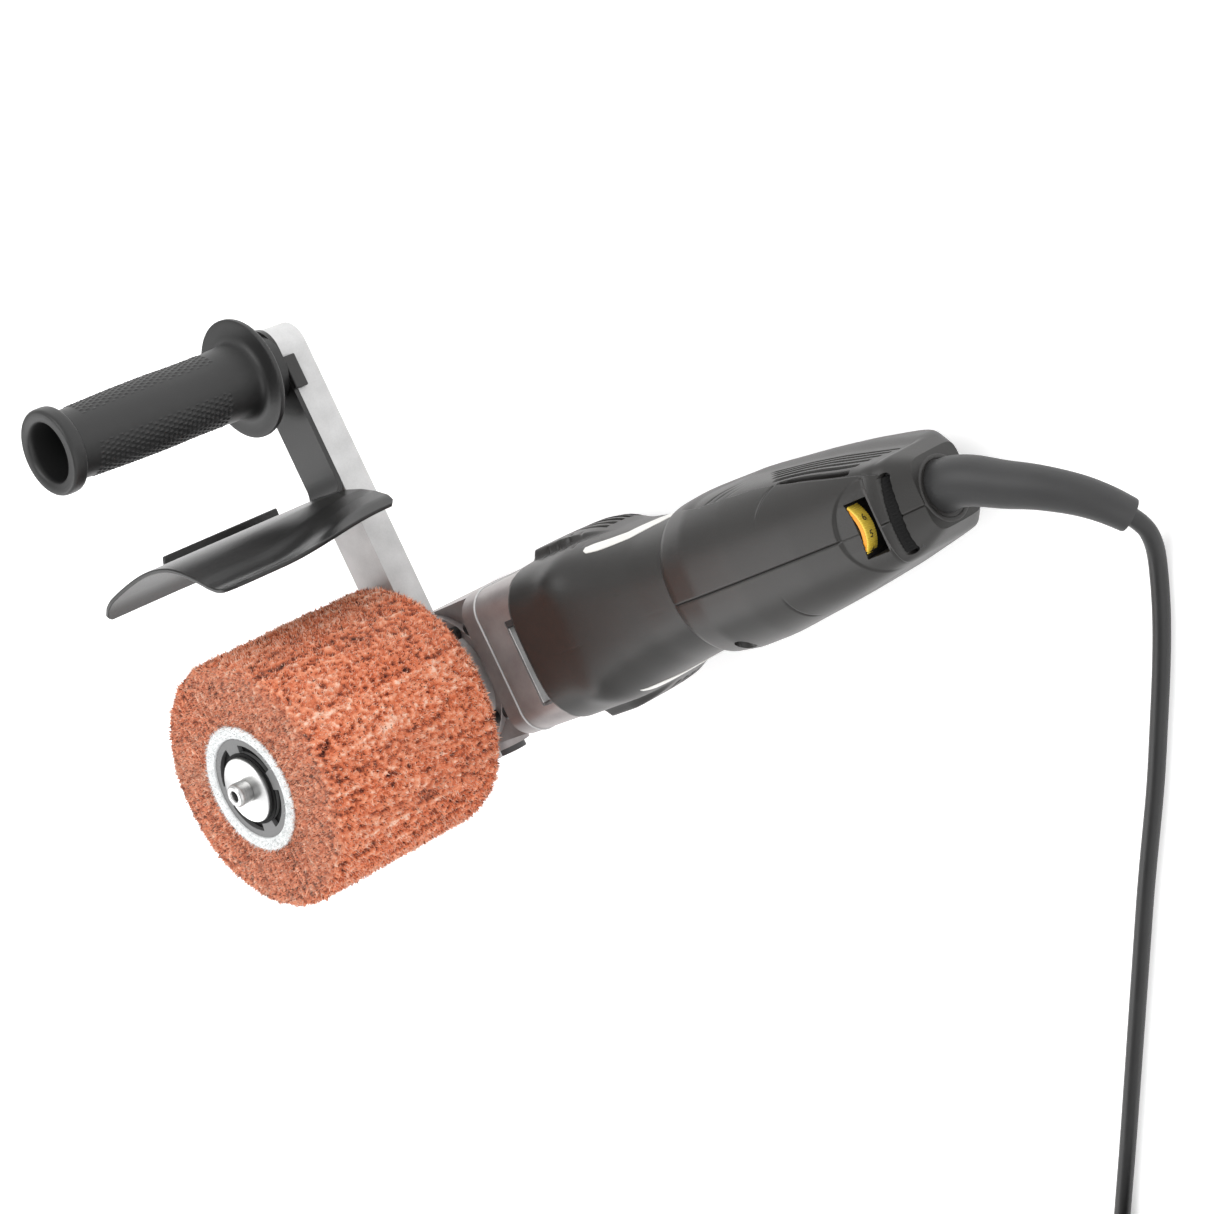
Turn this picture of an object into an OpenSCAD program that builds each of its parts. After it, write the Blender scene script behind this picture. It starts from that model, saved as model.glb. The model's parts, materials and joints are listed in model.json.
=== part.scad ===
// Hand-held drum burnishing machine: an angle-drive power tool that turns a
// wide abrasive drum, with a bracket bar, a side handle and a hand guard.
// It lies on its back, with the drum's axis upright. X runs along the motor
// towards the cable, Y towards the side handle and Z out along the drum.

/* [Drum] */
// Outer diameter of the abrasive drum
drum_d = 115; // [100:1:120]
// Width of the abrasive drum
drum_w = 98; // [80:1:100]
// Diameter of the drive arbor
arbor_d = 19; // [18:0.5:20]
// Outer diameter of the plastic drum hub
hub_d = 46.8; // [44:0.2:50]
// Outer diameter of the pale core ring
core_d = 57.2; // [54:0.2:62]

/* [Gear head] */
// Height of the drum's inner face above the motor axis
drum_z = 51; // [50:0.5:54]
// Half width of the gear head
head_y = 34; // [33:0.5:35]
// Depth of the gear head below the motor axis
back_z = 38; // [38:0.5:40]
// Outer diameter of the collar that the bracket sits on
neck_d = 42; // [40:0.5:44]

/* [Motor] */
// Distance from the drum axis to the rear end of the machine
rear_x = 306.5; // [300:0.5:312]
// Radius of the motor stack
stator_r = 33; // [30:0.5:33]
// Radius of the armature stack
armature_r = 19; // [17:0.5:19.5]

/* [Bracket and handle] */
// Width of the bracket bar
bar_w = 25; // [22:0.5:25]
// Thickness of the bracket bar
bar_t = 15.5; // [12:0.5:15.5]
// Distance from the drum axis to the handle axis
handle_y = 167.5; // [165:0.5:170]
// Radius of the handle's thumb disc
disc_r = 28; // [25:0.5:28]
// Height of the handle's free end above the motor axis
handle_top = 168.5; // [160:0.5:172]
// Thickness of the guard sheet
guard_t = 2.5; // [2:0.1:3]

/* [Cord] */
// Diameter of the mains cord
cord_d = 7.2; // [6.8:0.1:7.6]

/* [Hidden] */
$fn = 64;

drum_r = drum_d / 2;
hub_r = hub_d / 2;
core_r = core_d / 2;
arbor_r = arbor_d / 2;
neck_r = neck_d / 2;
drum_end = drum_z + drum_w;
cover_z = 24;
bar_z = cover_z + 3.5;
leg_z = bar_z + bar_t;
neck_top = leg_z + 1;
run_gap = 0.05;
housing_x = 75;
shell_x = 169;
wall = 2.6;

// The row's origin is under the middle of the machine, on the surface it lies on.
mid_x = (rear_x - drum_r) / 2;
mid_y = (handle_y + disc_r - drum_r) / 2;
module place() { translate([-mid_x, -mid_y, back_z]) children(); }

// Directions: turns a shape made along Z to lie along X or along Y.
module along_x() { rotate([0, 90, 0]) children(); }
module along_y() { rotate([-90, 0, 0]) children(); }

module tube(r_out, r_in, h) {
    difference() {
        cylinder(r = r_out, h = h);
        translate([0, 0, -1]) cylinder(r = r_in, h = h + 2);
    }
}

// A block from one corner to the opposite one.
module block(low, high) { translate(low) cube(high - low); }

// A flat plate in X and Y with four rounded corners, from z0 up to z1.
module round_plate(x0, x1, y0, y1, r, z0, z1) {
    translate([0, 0, z0]) linear_extrude(z1 - z0) {
        translate([x0 + r, y0]) square([x1 - x0 - 2 * r, y1 - y0]);
        translate([x0, y0 + r]) square([x1 - x0, y1 - y0 - 2 * r]);
        for (x = [x0 + r, x1 - r], y = [y0 + r, y1 - r]) translate([x, y]) circle(r);
    }
}

// A slice of the square gear flange between two X positions.
flange_y = 35;
flange_top = 34;
flange_back = 37;
module flange_slice(x0, x1, inset = 0) {
    r = 12 - inset;
    translate([x0, 0, 0]) rotate([0, 90, 0])
        round_plate(-flange_top + inset, flange_back - inset, -flange_y + inset,
                    flange_y - inset, r, 0, x1 - x0);
}

// ---- gear head -------------------------------------------------------------
gear_r = 25;
gear_teeth = 37;
pinion_teeth = 10;
slope = pinion_teeth / gear_teeth;
mesh_gap = 0.4;
cavity_r = 26.6;
flange_x0 = 38;
flange_x1 = 48;
flange_screw_at = [[-21, 28.5], [21, 28.5], [-30, -31], [30, -31]];
cover_screw_r = 30;
lock_z = 12;
handle_hole = [18, -8];

module gear_case() {
    color("silver") place() difference() {
        union() {
            round_plate(-36, flange_x0 + 6, -head_y, head_y, 16, -back_z, cover_z);
            block([0, -head_y, -back_z], [flange_x0 + 2, head_y, cover_z]);
            flange_slice(flange_x0, flange_x1);
            translate([0, -38, lock_z]) along_y() cylinder(r = 11, h = 8);
        }
        translate([0, 0, -24]) cylinder(r = cavity_r, h = 60);
        block([0, -20, -20], [flange_x1 + 1, 20, 20]);
        translate([flange_x0, 0, 0]) along_x() cylinder(r = 23, h = 12);
        translate([0, 0, -36]) cylinder(r = 8, h = 14);
        translate([0, -39, lock_z]) along_y() cylinder(r = 8.3, h = 9);
        translate([0, -31, lock_z]) along_y() cylinder(r = 3 + run_gap, h = 8);
        translate([handle_hole[0], -head_y - 1, handle_hole[1]]) along_y() cylinder(r = 4, h = 11);
        for (a = [45:90:315]) rotate([0, 0, a])
            translate([cover_screw_r, 0, cover_z - 8]) cylinder(r = 2, h = 9);
        for (y = [-36, 25.5]) block([24, y, -back_z - 1], [flange_x0, y + 10.5, -26.5]);
        for (p = flange_screw_at) translate([flange_x0 - 1, p[0], p[1]]) along_x() cylinder(r = 2, h = 12);
    }
}

module bearing_cover() {
    color("gainsboro") place() difference() {
        union() {
            translate([0, 0, cover_z]) cylinder(r = head_y - 0.5, h = bar_z - cover_z);
            translate([0, 0, cover_z - 4]) cylinder(r = cavity_r - 0.1, h = 5);
            translate([0, 0, bar_z - 1]) cylinder(r = neck_r, h = neck_top - bar_z + 1);
        }
        translate([0, 0, cover_z - 5]) cylinder(r = 17.5, h = 17);
        translate([0, 0, cover_z]) cylinder(r = 9, h = 30);
        for (a = [45:90:315]) rotate([0, 0, a])
            translate([cover_screw_r, 0, cover_z - 1]) cylinder(r = 2, h = 9);
    }
}

module cover_screws() {
    color("dimgray") place() for (a = [45:90:315]) rotate([0, 0, a])
        translate([cover_screw_r, 0, 0]) difference() {
            union() {
                translate([0, 0, cover_z - 8]) cylinder(r = 2, h = 11.5);
                translate([0, 0, bar_z]) cylinder(r = 3.4, h = 2.4);
            }
            translate([0, 0, bar_z + 1]) cylinder(r = 1.6, h = 3, $fn = 6);
        }
}

// The alloy middle housing between the gear case and the plastic motor housing.
fan_r = 29;
chamber_r = 31.5;
module motor_flange() {
    color("silver") place() difference() {
        union() {
            flange_slice(flange_x1, 65);
            flange_slice(65, housing_x, 3);
            translate([housing_x - 1, 0, 0]) along_x() cylinder(r = stator_r + 0.1, h = 5);
            translate([40, 0, 0]) along_x() cylinder(r = 18, h = 12);
        }
        translate([52, 0, 0]) along_x() cylinder(r = 30, h = 30);
        translate([52, 0, 0]) along_x() cylinder(r = chamber_r - 1, h = 20);
        translate([41, 0, 0]) along_x() cylinder(r = 14, h = 9);
        translate([39, 0, 0]) along_x() cylinder(r = 7, h = 20);
        for (y = [-22:9:14]) block([66.5, y, 20], [73.5, y + 5, 40]);
        for (p = flange_screw_at) translate([flange_x1 - 1, p[0], p[1]]) along_x() cylinder(r = 2, h = 13);
    }
}

module flange_screws() {
    color("dimgray") place() for (p = flange_screw_at)
        translate([flange_x0, p[0], p[1]]) along_x() difference() {
            union() {
                translate([0, 0, -5]) cylinder(r = 3.6, h = 5);
                translate([0, 0, -1]) cylinder(r = 2, h = 22);
            }
            translate([0, 0, -6]) cylinder(r = 1.8, h = 3.5, $fn = 6);
        }
}

module spindle() {
    color("lightsteelblue") place() {
        translate([0, 0, -35.5]) cylinder(r = 5, h = 11);
        translate([0, 0, -24.5]) cylinder(r = 7.5, h = 69.5);
        translate([0, 0, 45]) cylinder(r = 7, h = 18);
    }
}

module spindle_bearing() {
    color("slategray") place() translate([0, 0, cover_z - 0.5]) tube(17.5, 7.5 + run_gap, 11.5);
}

module spindle_bush() {
    color("goldenrod") place() translate([0, 0, -36]) tube(8, 5 + run_gap, 11);
}

// Teeth slots run along the cone, from the inner to the outer radius.
module crown_gear() {
    color("darkgray") place() difference() {
        union() {
            translate([0, 0, slope * 13 + mesh_gap])
                cylinder(r1 = 13, r2 = gear_r, h = slope * (gear_r - 13));
            translate([0, 0, slope * gear_r + mesh_gap]) cylinder(r = gear_r, h = 8);
            translate([0, 0, 10]) cylinder(r = 12, h = 9.5);
        }
        translate([0, 0, -1]) cylinder(r = 7.5, h = 30);
        for (i = [0:gear_teeth - 1]) rotate([0, 0, (i + 0.5) * 360 / gear_teeth])
            rotate([0, -atan(slope), 0]) translate([15, -0.7, -1]) cube([14, 1.4, 2.4]);
        for (a = [0:45:315]) rotate([0, 0, a])
            translate([0, -gear_r - 1, lock_z]) along_y() cylinder(r = 3.5, h = 5);
    }
}

module lock_button() {
    color([0.12, 0.12, 0.12]) place() translate([0, -41, lock_z]) along_y() cylinder(r = 8, h = 5);
}

module lock_pin() {
    color("silver") place() translate([0, -36, lock_z]) along_y() cylinder(r = 3, h = 10);
}

module lock_spring() {
    color("lightgray") place() translate([0, -32.6, lock_z]) along_y()
        for (i = [0:2]) translate([0, 0, i * 0.85]) rotate_extrude() translate([5.2, 0.4]) circle(0.4, $fn = 16);
}

// ---- drum ------------------------------------------------------------------
module drum_arbor() {
    color("silver") place() difference() {
        union() {
            translate([0, 0, drum_z - 4]) cylinder(r = 20, h = 4);
            translate([0, 0, drum_z]) cylinder(r = arbor_r, h = drum_w);
        }
        translate([0, 0, drum_z - 5]) cylinder(r = 7, h = 19);
        translate([0, 0, drum_end - 25]) cylinder(r = 4, h = 26);
        for (a = [0, 180]) rotate([0, 0, a]) block([arbor_r - 2, -2, drum_z], [arbor_r + 3, 2, drum_end + 1]);
    }
}

module drive_keys() {
    color("gray") place() for (a = [0, 180]) rotate([0, 0, a])
        block([arbor_r - 2, -2, drum_z], [arbor_r + 1.8, 2, drum_end - 1]);
}

// Four curved slots lighten the hub, between its inner and outer rings.
module drum_hub() {
    color([0.13, 0.13, 0.13]) place() difference() {
        translate([0, 0, drum_z]) tube(hub_r, arbor_r, drum_w);
        for (a = [0:90:270]) rotate([0, 0, a + 14]) translate([0, 0, drum_z - 1])
            rotate_extrude(angle = 62) translate([16.6, 0]) square([3.6, drum_w + 2]);
        for (a = [0:90:270]) rotate([0, 0, a])
            block([arbor_r - 1, -2, drum_z - 1], [arbor_r + 2, 2, drum_end + 1]);
    }
}

module core_ring() {
    color([0.9, 0.9, 0.88]) place() translate([0, 0, drum_z]) tube(core_r, hub_r, drum_w);
}

drum_edge = 5;
module abrasive_drum() {
    color([0.8, 0.35, 0.22]) place() translate([0, 0, drum_z]) rotate_extrude($fn = 128) {
        translate([core_r, 0]) square([drum_r - core_r - drum_edge, drum_w]);
        translate([core_r, drum_edge]) square([drum_r - core_r, drum_w - 2 * drum_edge]);
        for (z = [drum_edge, drum_w - drum_edge]) translate([drum_r - drum_edge, z]) circle(drum_edge);
    }
}

module drum_washer() {
    color("gainsboro") place() translate([0, 0, drum_end]) tube(15, 4, 2.4);
}

module drum_bolt() {
    color("gainsboro") place() difference() {
        union() {
            translate([0, 0, drum_end - 24]) cylinder(r = 4, h = 27);
            translate([0, 0, drum_end + 2.4]) cylinder(r = 4.5, h = 7);
        }
        translate([0, 0, drum_end + 5]) cylinder(r = 2.4, h = 5);
    }
}

// ---- motor -----------------------------------------------------------------
module armature_shaft() {
    color("lightsteelblue") place() {
        translate([25, 0, 0]) along_x() cylinder(r = 6, h = 38);
        translate([62, 0, 0]) along_x() cylinder(r = 5, h = 99);
    }
}

module pinion() {
    color("darkgray") place() difference() {
        translate([13, 0, 0]) along_x() cylinder(r1 = 13 * slope, r2 = gear_r * slope, h = gear_r - 13);
        for (i = [0:pinion_teeth - 1]) rotate([(i + 0.5) * 360 / pinion_teeth, 0, 0])
            rotate([0, -atan(slope), 0]) translate([12, -0.6, -1.2]) cube([16, 1.2, 3]);
    }
}

module fan() {
    color("dimgray") place() difference() {
        union() {
            translate([55, 0, 0]) along_x() cylinder(r = fan_r - 1, h = 2);
            translate([55, 0, 0]) along_x() cylinder(r = 11, h = 10);
            for (i = [0:11]) rotate([i * 30, 0, 0]) block([56, -1, 10], [63, 1, fan_r - 1.5]);
        }
        translate([50, 0, 0]) along_x() cylinder(r = 6, h = 13);
        translate([60, 0, 0]) along_x() cylinder(r = 5, h = 13);
    }
}

module armature_core() {
    color("darkslategray") place() difference() {
        translate([80, 0, 0]) along_x() tube(armature_r, 5, 38);
        for (i = [0:11]) rotate([i * 30, 0, 0]) block([79, -1.2, armature_r - 5], [119, 1.2, armature_r + 1]);
    }
}

module armature_windings() {
    color("peru") place() {
        translate([70, 0, 0]) along_x() tube(armature_r - 2.5, 5, 10);
        translate([118, 0, 0]) along_x() tube(armature_r - 2.5, 5, 9);
    }
}

commutator_r = 12;
module commutator() {
    color("chocolate") place() difference() {
        translate([131, 0, 0]) along_x() tube(commutator_r, 5, 15);
        for (i = [0:23]) rotate([i * 15, 0, 0]) block([132, -0.3, commutator_r - 1], [147, 0.3, commutator_r + 1]);
    }
}

module front_bearing() {
    color("slategray") place() translate([41, 0, 0]) along_x() tube(14, 6 + run_gap, 9);
}

module rear_bearing() {
    color("slategray") place() translate([152, 0, 0]) along_x() tube(11, 5 + run_gap, 7);
}

// Two poles face the armature, above and below it; the coils sit beside them.
coil_in = 22.5;
module stator_core() {
    color("lightslategray") place() difference() {
        translate([80, 0, 0]) along_x() cylinder(r = stator_r, h = 38);
        translate([79, 0, 0]) along_x() cylinder(r = armature_r + 0.8, h = 40);
        for (m = [0, 1]) mirror([0, m, 0])
            intersection() {
                block([79, coil_in - 9, -14], [119, stator_r, 14]);
                translate([79, 0, 0]) along_x() cylinder(r = 28.5, h = 40);
            }
    }
}

module field_coils() {
    color("peru") place() for (m = [0, 1]) mirror([0, m, 0]) difference() {
        intersection() {
            block([76, coil_in - 2, -13.5], [122, stator_r, 13.5]);
            translate([76, 0, 0]) along_x() cylinder(r = 28, h = 46);
        }
        translate([75, 0, 0]) along_x() cylinder(r = armature_r + 1.5, h = 48);
    }
}

brush_x = 138;
module brush_holders() {
    color("gold") place() for (m = [0, 1]) mirror([0, m, 0]) difference() {
        block([brush_x - 5.5, 15, -5], [brush_x + 5.5, 27, 5]);
        block([brush_x - 4, 14, -3.5], [brush_x + 4, 25.5, 3.5]);
    }
}

module carbon_brushes() {
    color([0.2, 0.2, 0.2]) place() for (m = [0, 1]) mirror([0, m, 0]) difference() {
        block([brush_x - 4, 10, -3.5], [brush_x + 4, 24, 3.5]);
        translate([brush_x - 10, 0, 0]) along_x() cylinder(r = commutator_r + 0.3, h = 20);
    }
}

// ---- plastic housings ------------------------------------------------------
// Outlines as [distance along X, half size]: seen from above, from the side
// (top, then back) and the largest radius, which rounds the corners.
front_width = [[75, 37], [112, 37], [126, 35], [142, 32.6], [158, 31.4], [169, 31]];
front_top = [[75, 39.5], [108, 38], [130, 34.5], [150, 32], [169, 31]];
front_back = [[75, 37], [80, 38], [115, 38], [135, 34], [152, 32], [169, 31]];
front_round = [[75, 44.5], [108, 43.5], [130, 37.5], [150, 33.4], [169, 31.4]];
rear_width = [[169, 31.4], [173, 34], [190, 34.8], [207, 34.2], [227, 31.8], [247, 29.5],
              [266, 26.7], [284, 23.2], [298, 20.4], [306.5, 15]];
rear_top = [[169, 31.4], [174, 34.5], [190, 36.5], [215, 36.5], [250, 34.2], [294, 30], [306.5, 16]];
rear_back = [[169, 31.4], [174, 34], [190, 35], [215, 35], [250, 31.5], [285, 26], [306.5, 14]];
rear_round = [[169, 31.6], [174, 35.5], [190, 38], [215, 38], [250, 36], [294, 32.5], [306.5, 19]];

function widened(pts, d) = [for (p = pts) [p[0], p[1] - d]];
function mirrored(pts) = [for (i = [len(pts) - 1:-1:0]) [pts[i][0], -pts[i][1]]];
function closed(a, b, d) = concat(widened(a, d), mirrored(widened(b, d)));
function turned(pts, d) = concat(
    [[0, pts[0][0]]], [for (p = pts) [p[1] - d, p[0]]], [[0, pts[len(pts) - 1][0]]]);

// One solid housing, smaller by the given inset on every side but its ends.
module housing_solid(width, top, back, corner, inset) {
    intersection() {
        translate([0, 0, -60]) linear_extrude(120) polygon(closed(width, width, inset));
        rotate([90, 0, 0]) translate([0, 0, -60]) linear_extrude(120) polygon(closed(top, back, inset));
        along_x() rotate_extrude($fn = 96) polygon(turned(corner, inset));
    }
}

// Raised vent cheeks on both flanks of the motor housing.
module cheek(side) {
    mirror([0, side, 0]) intersection() {
        block([78, 30, -26], [128, 40.5, 4]);
        translate([103, 0, -30]) linear_extrude(40) intersection() {
            translate([0, -19]) circle(60);
            square([80, 100], center = true);
        }
    }
}

switch_x = 150;
module motor_housing() {
    color([0.2, 0.19, 0.18]) place() difference() {
        union() {
            housing_solid(front_width, front_top, front_back, front_round, 0);
            for (side = [0, 1]) cheek(side);
        }
        translate([74, 0, 0]) along_x() cylinder(r = stator_r + 0.3, h = 46);
        translate([110, 0, 0]) along_x() cylinder(r = 28.6, h = 42);
        translate([151, 0, 0]) along_x() cylinder(r = 11, h = 9);
        translate([151, 0, 0]) along_x() cylinder(r = 7, h = 20);
        translate([161, 0, 0]) along_x() cylinder(r = 26, h = 10);
        for (y = [-20, 20]) block([150, y - 4, -6], [162, y + 4, 6]);
        for (side = [0, 1], z = [-22:6:-4]) mirror([0, side, 0])
            block([92, 26, z], [116, 42, z + 2.4]);
        block([switch_x - 13, -7, -34], [switch_x + 13, 7, -30.2]);
        block([switch_x - 5, -3, -34], [switch_x + 5, 3, -24]);
        block([switch_x - 5, -3, -27], [shell_x + 1, 3, -22]);
    }
}

// A blank plate on each flank, behind the vents, that follows the housing.
plate_t = 0.4;
module name_plates() {
    color([0.85, 0.84, 0.8]) place() for (side = [0, 1]) mirror([0, side, 0]) difference() {
        intersection() {
            housing_solid(front_width, front_top, front_back, front_round, -plate_t);
            union() {
                block([121, 20, 6], [162, 45, 22]);
                block([130, 20, -16], [162, 45, 7]);
            }
        }
        housing_solid(front_width, front_top, front_back, front_round, -0.03);
    }
}

dial_at = [271, -1.3];
dial_r = 14.3;
dial_z = 22.6;
dial_h = 6.7;
dish = [292, -3];
dish_r = 19.5;
dish_z = 30.2;
window = [282.5, 292];
slot_x = [297, 300.5];
split_y = -3;
screw_at = [[191, -16], [191, 22], [262, -14], [262, 14]];
head_y0 = -15;
screw_y1 = 14;
module rear_solid(inset) { housing_solid(rear_width, rear_top, rear_back, rear_round, inset); }

// Both rear shells as one, with the screw bosses that join them.
module rear_shells() {
    difference() {
        union() {
            difference() {
                rear_solid(0);
                intersection() {
                    rear_solid(wall);
                    block([shell_x - 1, -50, -50], [rear_x - 4, 50, 50]);
                }
            }
            intersection() {
                rear_solid(0.5);
                for (p = screw_at) translate([p[0], -50, p[1]]) along_y() cylinder(r = 4.8, h = 100);
            }
        }
        for (p = screw_at) translate([p[0], 0, p[1]]) along_y() {
            translate([0, 0, -60]) cylinder(r = 3.4, h = 63 + head_y0);
            translate([0, 0, head_y0]) cylinder(r = 1.7, h = screw_y1 - head_y0);
        }
        translate([rear_x - 10, 0, 1.6]) along_x() cylinder(r = 8, h = 20);
        intersection() {
            translate([dish[0], dish[1], dish_z]) cylinder(r = dish_r, h = 10);
            block([250, -30, dish_z], [window[1] + 1.6, 30, 50]);
        }
        block([window[0], -13.2, 15], [window[1], 9.3, 40]);
        translate([dial_at[0], dial_at[1], dial_z - 0.5]) cylinder(r = dial_r + 0.5, h = dial_h + 0.8);
        for (i = [0:4]) block([228 + i * 7, 20, 9 + i * 4], [262 + i * 3, 45, 11 + i * 4]);
        block([slot_x[0], -17.5, 8], [slot_x[1], 14, 34]);
    }
}

module rear_shell_upper() {
    color([0.2, 0.19, 0.18]) place() intersection() {
        rear_shells();
        block([150, split_y, -60], [320, 60, 60]);
    }
}

module rear_shell_lower() {
    color([0.2, 0.19, 0.18]) place() intersection() {
        rear_shells();
        block([150, -60, -60], [320, split_y, 60]);
    }
}

module shell_screws() {
    color("dimgray") place() for (p = screw_at) translate([p[0], 0, p[1]]) along_y() difference() {
        union() {
            translate([0, 0, head_y0]) cylinder(r = 3.2, h = 3);
            translate([0, 0, head_y0 + 2]) cylinder(r = 1.7, h = screw_y1 - head_y0 - 2);
        }
        translate([0, 0, head_y0 - 1]) cylinder(r = 1.2, h = 3, $fn = 6);
    }
}

// The dial lies flat under the dish, with its knurled edge in the window.
module speed_dial() {
    color([0.95, 0.75, 0.1]) place() translate([dial_at[0], dial_at[1], dial_z]) difference() {
        cylinder(r = dial_r, h = dial_h);
        for (i = [0:35]) rotate([0, 0, i * 10]) translate([dial_r, 0, -1]) cylinder(r = 0.35, h = 4, $fn = 16);
        translate([0, 0, -1]) cylinder(r = 3 + run_gap, h = 10);
    }
}

module dial_pot() {
    color("royalblue") place() translate([dial_at[0], dial_at[1], 0]) {
        translate([0, 0, 10]) cylinder(r = 3, h = dial_z + dial_h - 10);
        block([-3.5, -7, 7], [8, 7, dial_z - 1]);
    }
}

module speed_board() {
    color("seagreen") place() {
        block([205, -16, -8], [268, 16, -6]);
        block([210, -12, -6], [225, 12, 4]);
        block([232, -10, -6], [240, 6, 2]);
        for (y = [-6, 6]) translate([252, y, -6]) cylinder(r = 4, h = 10);
    }
}

// Fine mesh in the air slot, to keep dust out of the motor.
module dust_mesh() {
    color([0.1, 0.1, 0.1]) place() difference() {
        block([slot_x[0], -17.5, 18], [slot_x[1], 14, 19.5]);
        for (y = [-16.5:2.5:11], x = [0.5, 2]) block([slot_x[0] + x, y, 17], [slot_x[0] + x + 1, y + 1.4, 21]);
    }
}

module slide_switch() {
    color([0.1, 0.1, 0.1]) place() {
        block([switch_x - 10, -6.5, -32.6], [switch_x + 4, 6.5, -30.6]);
        block([switch_x - 4.5, -2.5, -30.7], [switch_x - 1.5, 2.5, -25]);
        for (i = [0:4]) block([switch_x - 9 + i * 2.4, -6, -33.3], [switch_x - 7.8 + i * 2.4, 6, -32.5]);
    }
}

module switch_rod() {
    color("silver") place() block([switch_x - 4, -2, -25], [switch_x + 42, 2, -23.5]);
}

module switch_block() {
    color("dimgray") place() block([switch_x + 50, -8, -27], [switch_x + 70, 8, -12]);
}

// ---- bracket, guard and handle --------------------------------------------
bar_end_y = handle_y + 5;
module handle_bar() {
    color([0.85, 0.85, 0.85]) place() translate([0, 0, bar_z]) difference() {
        union() {
            cylinder(r = neck_r + 9, h = bar_t);
            block([-bar_w / 2, 0, 0], [bar_w / 2, bar_end_y, bar_t]);
            translate([0, bar_end_y, 0]) cylinder(r = bar_w / 2, h = bar_t);
            block([-13, -40, 0], [13, -20, bar_t]);
        }
        translate([0, 0, -1]) cylinder(r = neck_r, h = bar_t + 2);
        block([-1.5, -42, -1], [1.5, -15, bar_t + 1]);
        translate([-14, -34.5, bar_t / 2]) along_x() cylinder(r = 3, h = 28);
        translate([0, handle_y, -1]) cylinder(r = 4, h = bar_t + 2);
        translate([0, handle_y, -1]) cylinder(r = 7.6, h = 6.2);
        for (a = [45:90:315]) rotate([0, 0, a])
            translate([cover_screw_r, 0, -1]) cylinder(r = 4, h = 4);
    }
}

module bar_screw() {
    color("dimgray") place() translate([-13, -34.5, bar_z + bar_t / 2]) along_x() {
        cylinder(r = 3, h = 29);
        translate([0, 0, -5]) cylinder(r = 5, h = 5);
    }
}

// Guard profile across the drum: right lip, valley, crown and left wing.
guard_line = [[46, 82.8], [36.5, 83.7], [31, 86.5], [25, 91.8], [16, 98.6], [8, 102.4],
              [-3, 104.4], [-15, 103.6], [-30, 99.8], [-43, 94]];
guard_z0 = leg_z + 1;
guard_z1 = 152;
function side_step(a, b, t) = let (d = b - a, n = norm(d)) [-d[1] / n * t, d[0] / n * t];
function under(pts, t) = [for (i = [len(pts) - 1:-1:0])
    pts[i] + side_step(pts[max(i - 1, 0)], pts[min(i + 1, len(pts) - 1)], t)];

module guard_sheet() {
    translate([0, 0, guard_z0]) linear_extrude(guard_z1 - guard_z0)
        polygon(concat(guard_line, under(guard_line, guard_t)));
}

// Plan outline of the sheet: rounded far corner, slanting near end.
module guard_plan() {
    rotate([90, 0, 0]) translate([0, 0, -120]) linear_extrude(60)
        polygon([[-46, guard_z0], [24, guard_z0], [40, guard_z0 + 3], [46, guard_z0 + 9],
                 [46, 138], [42, 142], [0, 147], [-36, 152], [-43, 148], [-46, 145]]);
}

module guard() {
    color([0.17, 0.17, 0.17]) place() {
        intersection() {
            guard_sheet();
            guard_plan();
        }
        difference() {
            block([-bar_w / 2, 98, leg_z], [bar_w / 2, handle_y + 6, leg_z + guard_t]);
            translate([0, handle_y, leg_z - 1]) cylinder(r = 4, h = guard_t + 2);
        }
        translate([0, handle_y + 6, leg_z]) difference() {
            cylinder(r = bar_w / 2, h = guard_t);
            block([-20, -40, -1], [20, 0, 5]);
        }
        block([bar_w / 2, 152, leg_z - 8], [bar_w / 2 + 2, 168, leg_z + guard_t]);
        block([-44.6, 93, guard_z0], [-42.4, 108, 114]);
    }
}

module handle_bolt() {
    color("silver") place() translate([0, handle_y, 0]) {
        translate([0, 0, bar_z + 0.2]) cylinder(r = 7, h = 5, $fn = 6);
        translate([0, 0, bar_z + 5]) cylinder(r = 4, h = 78);
    }
}

module handle_nut() {
    color("silver") place() translate([0, handle_y, 100]) difference() {
        cylinder(r = 7.2, h = 6, $fn = 6);
        translate([0, 0, -1]) cylinder(r = 4, h = 8);
    }
}

collar_z = leg_z + guard_t;
disc_z = 58;
module handle_collar() {
    color([0.16, 0.16, 0.16]) place() translate([0, handle_y, 0]) difference() {
        translate([0, 0, collar_z]) cylinder(r = 16, h = disc_z - collar_z);
        translate([0, 0, collar_z - 1]) cylinder(r = 4, h = 20);
        block([-6, 12, collar_z + 3], [6, 20, disc_z - 4]);
    }
}

// The grip swells in the middle and ends in a thick rim around its hollow.
module handle_grip() {
    color([0.15, 0.15, 0.15]) place() translate([0, handle_y, 0]) difference() {
        rotate_extrude($fn = 96) polygon([
            [0, disc_z], [disc_r, disc_z], [disc_r, disc_z + 3], [20, disc_z + 4.5], [17, disc_z + 9],
            [16.2, disc_z + 20], [16.6, 110], [16.2, 140], [15.6, 160], [18.6, 161.5],
            [19.5, 163], [19.5, handle_top - 1], [18.5, handle_top], [0, handle_top]]);
        translate([0, 0, disc_z - 1]) cylinder(r = 4, h = 60);
        translate([0, 0, 100]) cylinder(r = 13.5, h = 80);
    }
}

// ---- cable entry and cord --------------------------------------------------
module cable_clamp() {
    color("black") place() {
        block([rear_x - 22, -12, -11], [rear_x - 12, 12, -6.5]);
        for (y = [-9, 9]) block([rear_x - 22, y - 3, -16], [rear_x - 12, y + 3, -11]);
    }
}

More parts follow.
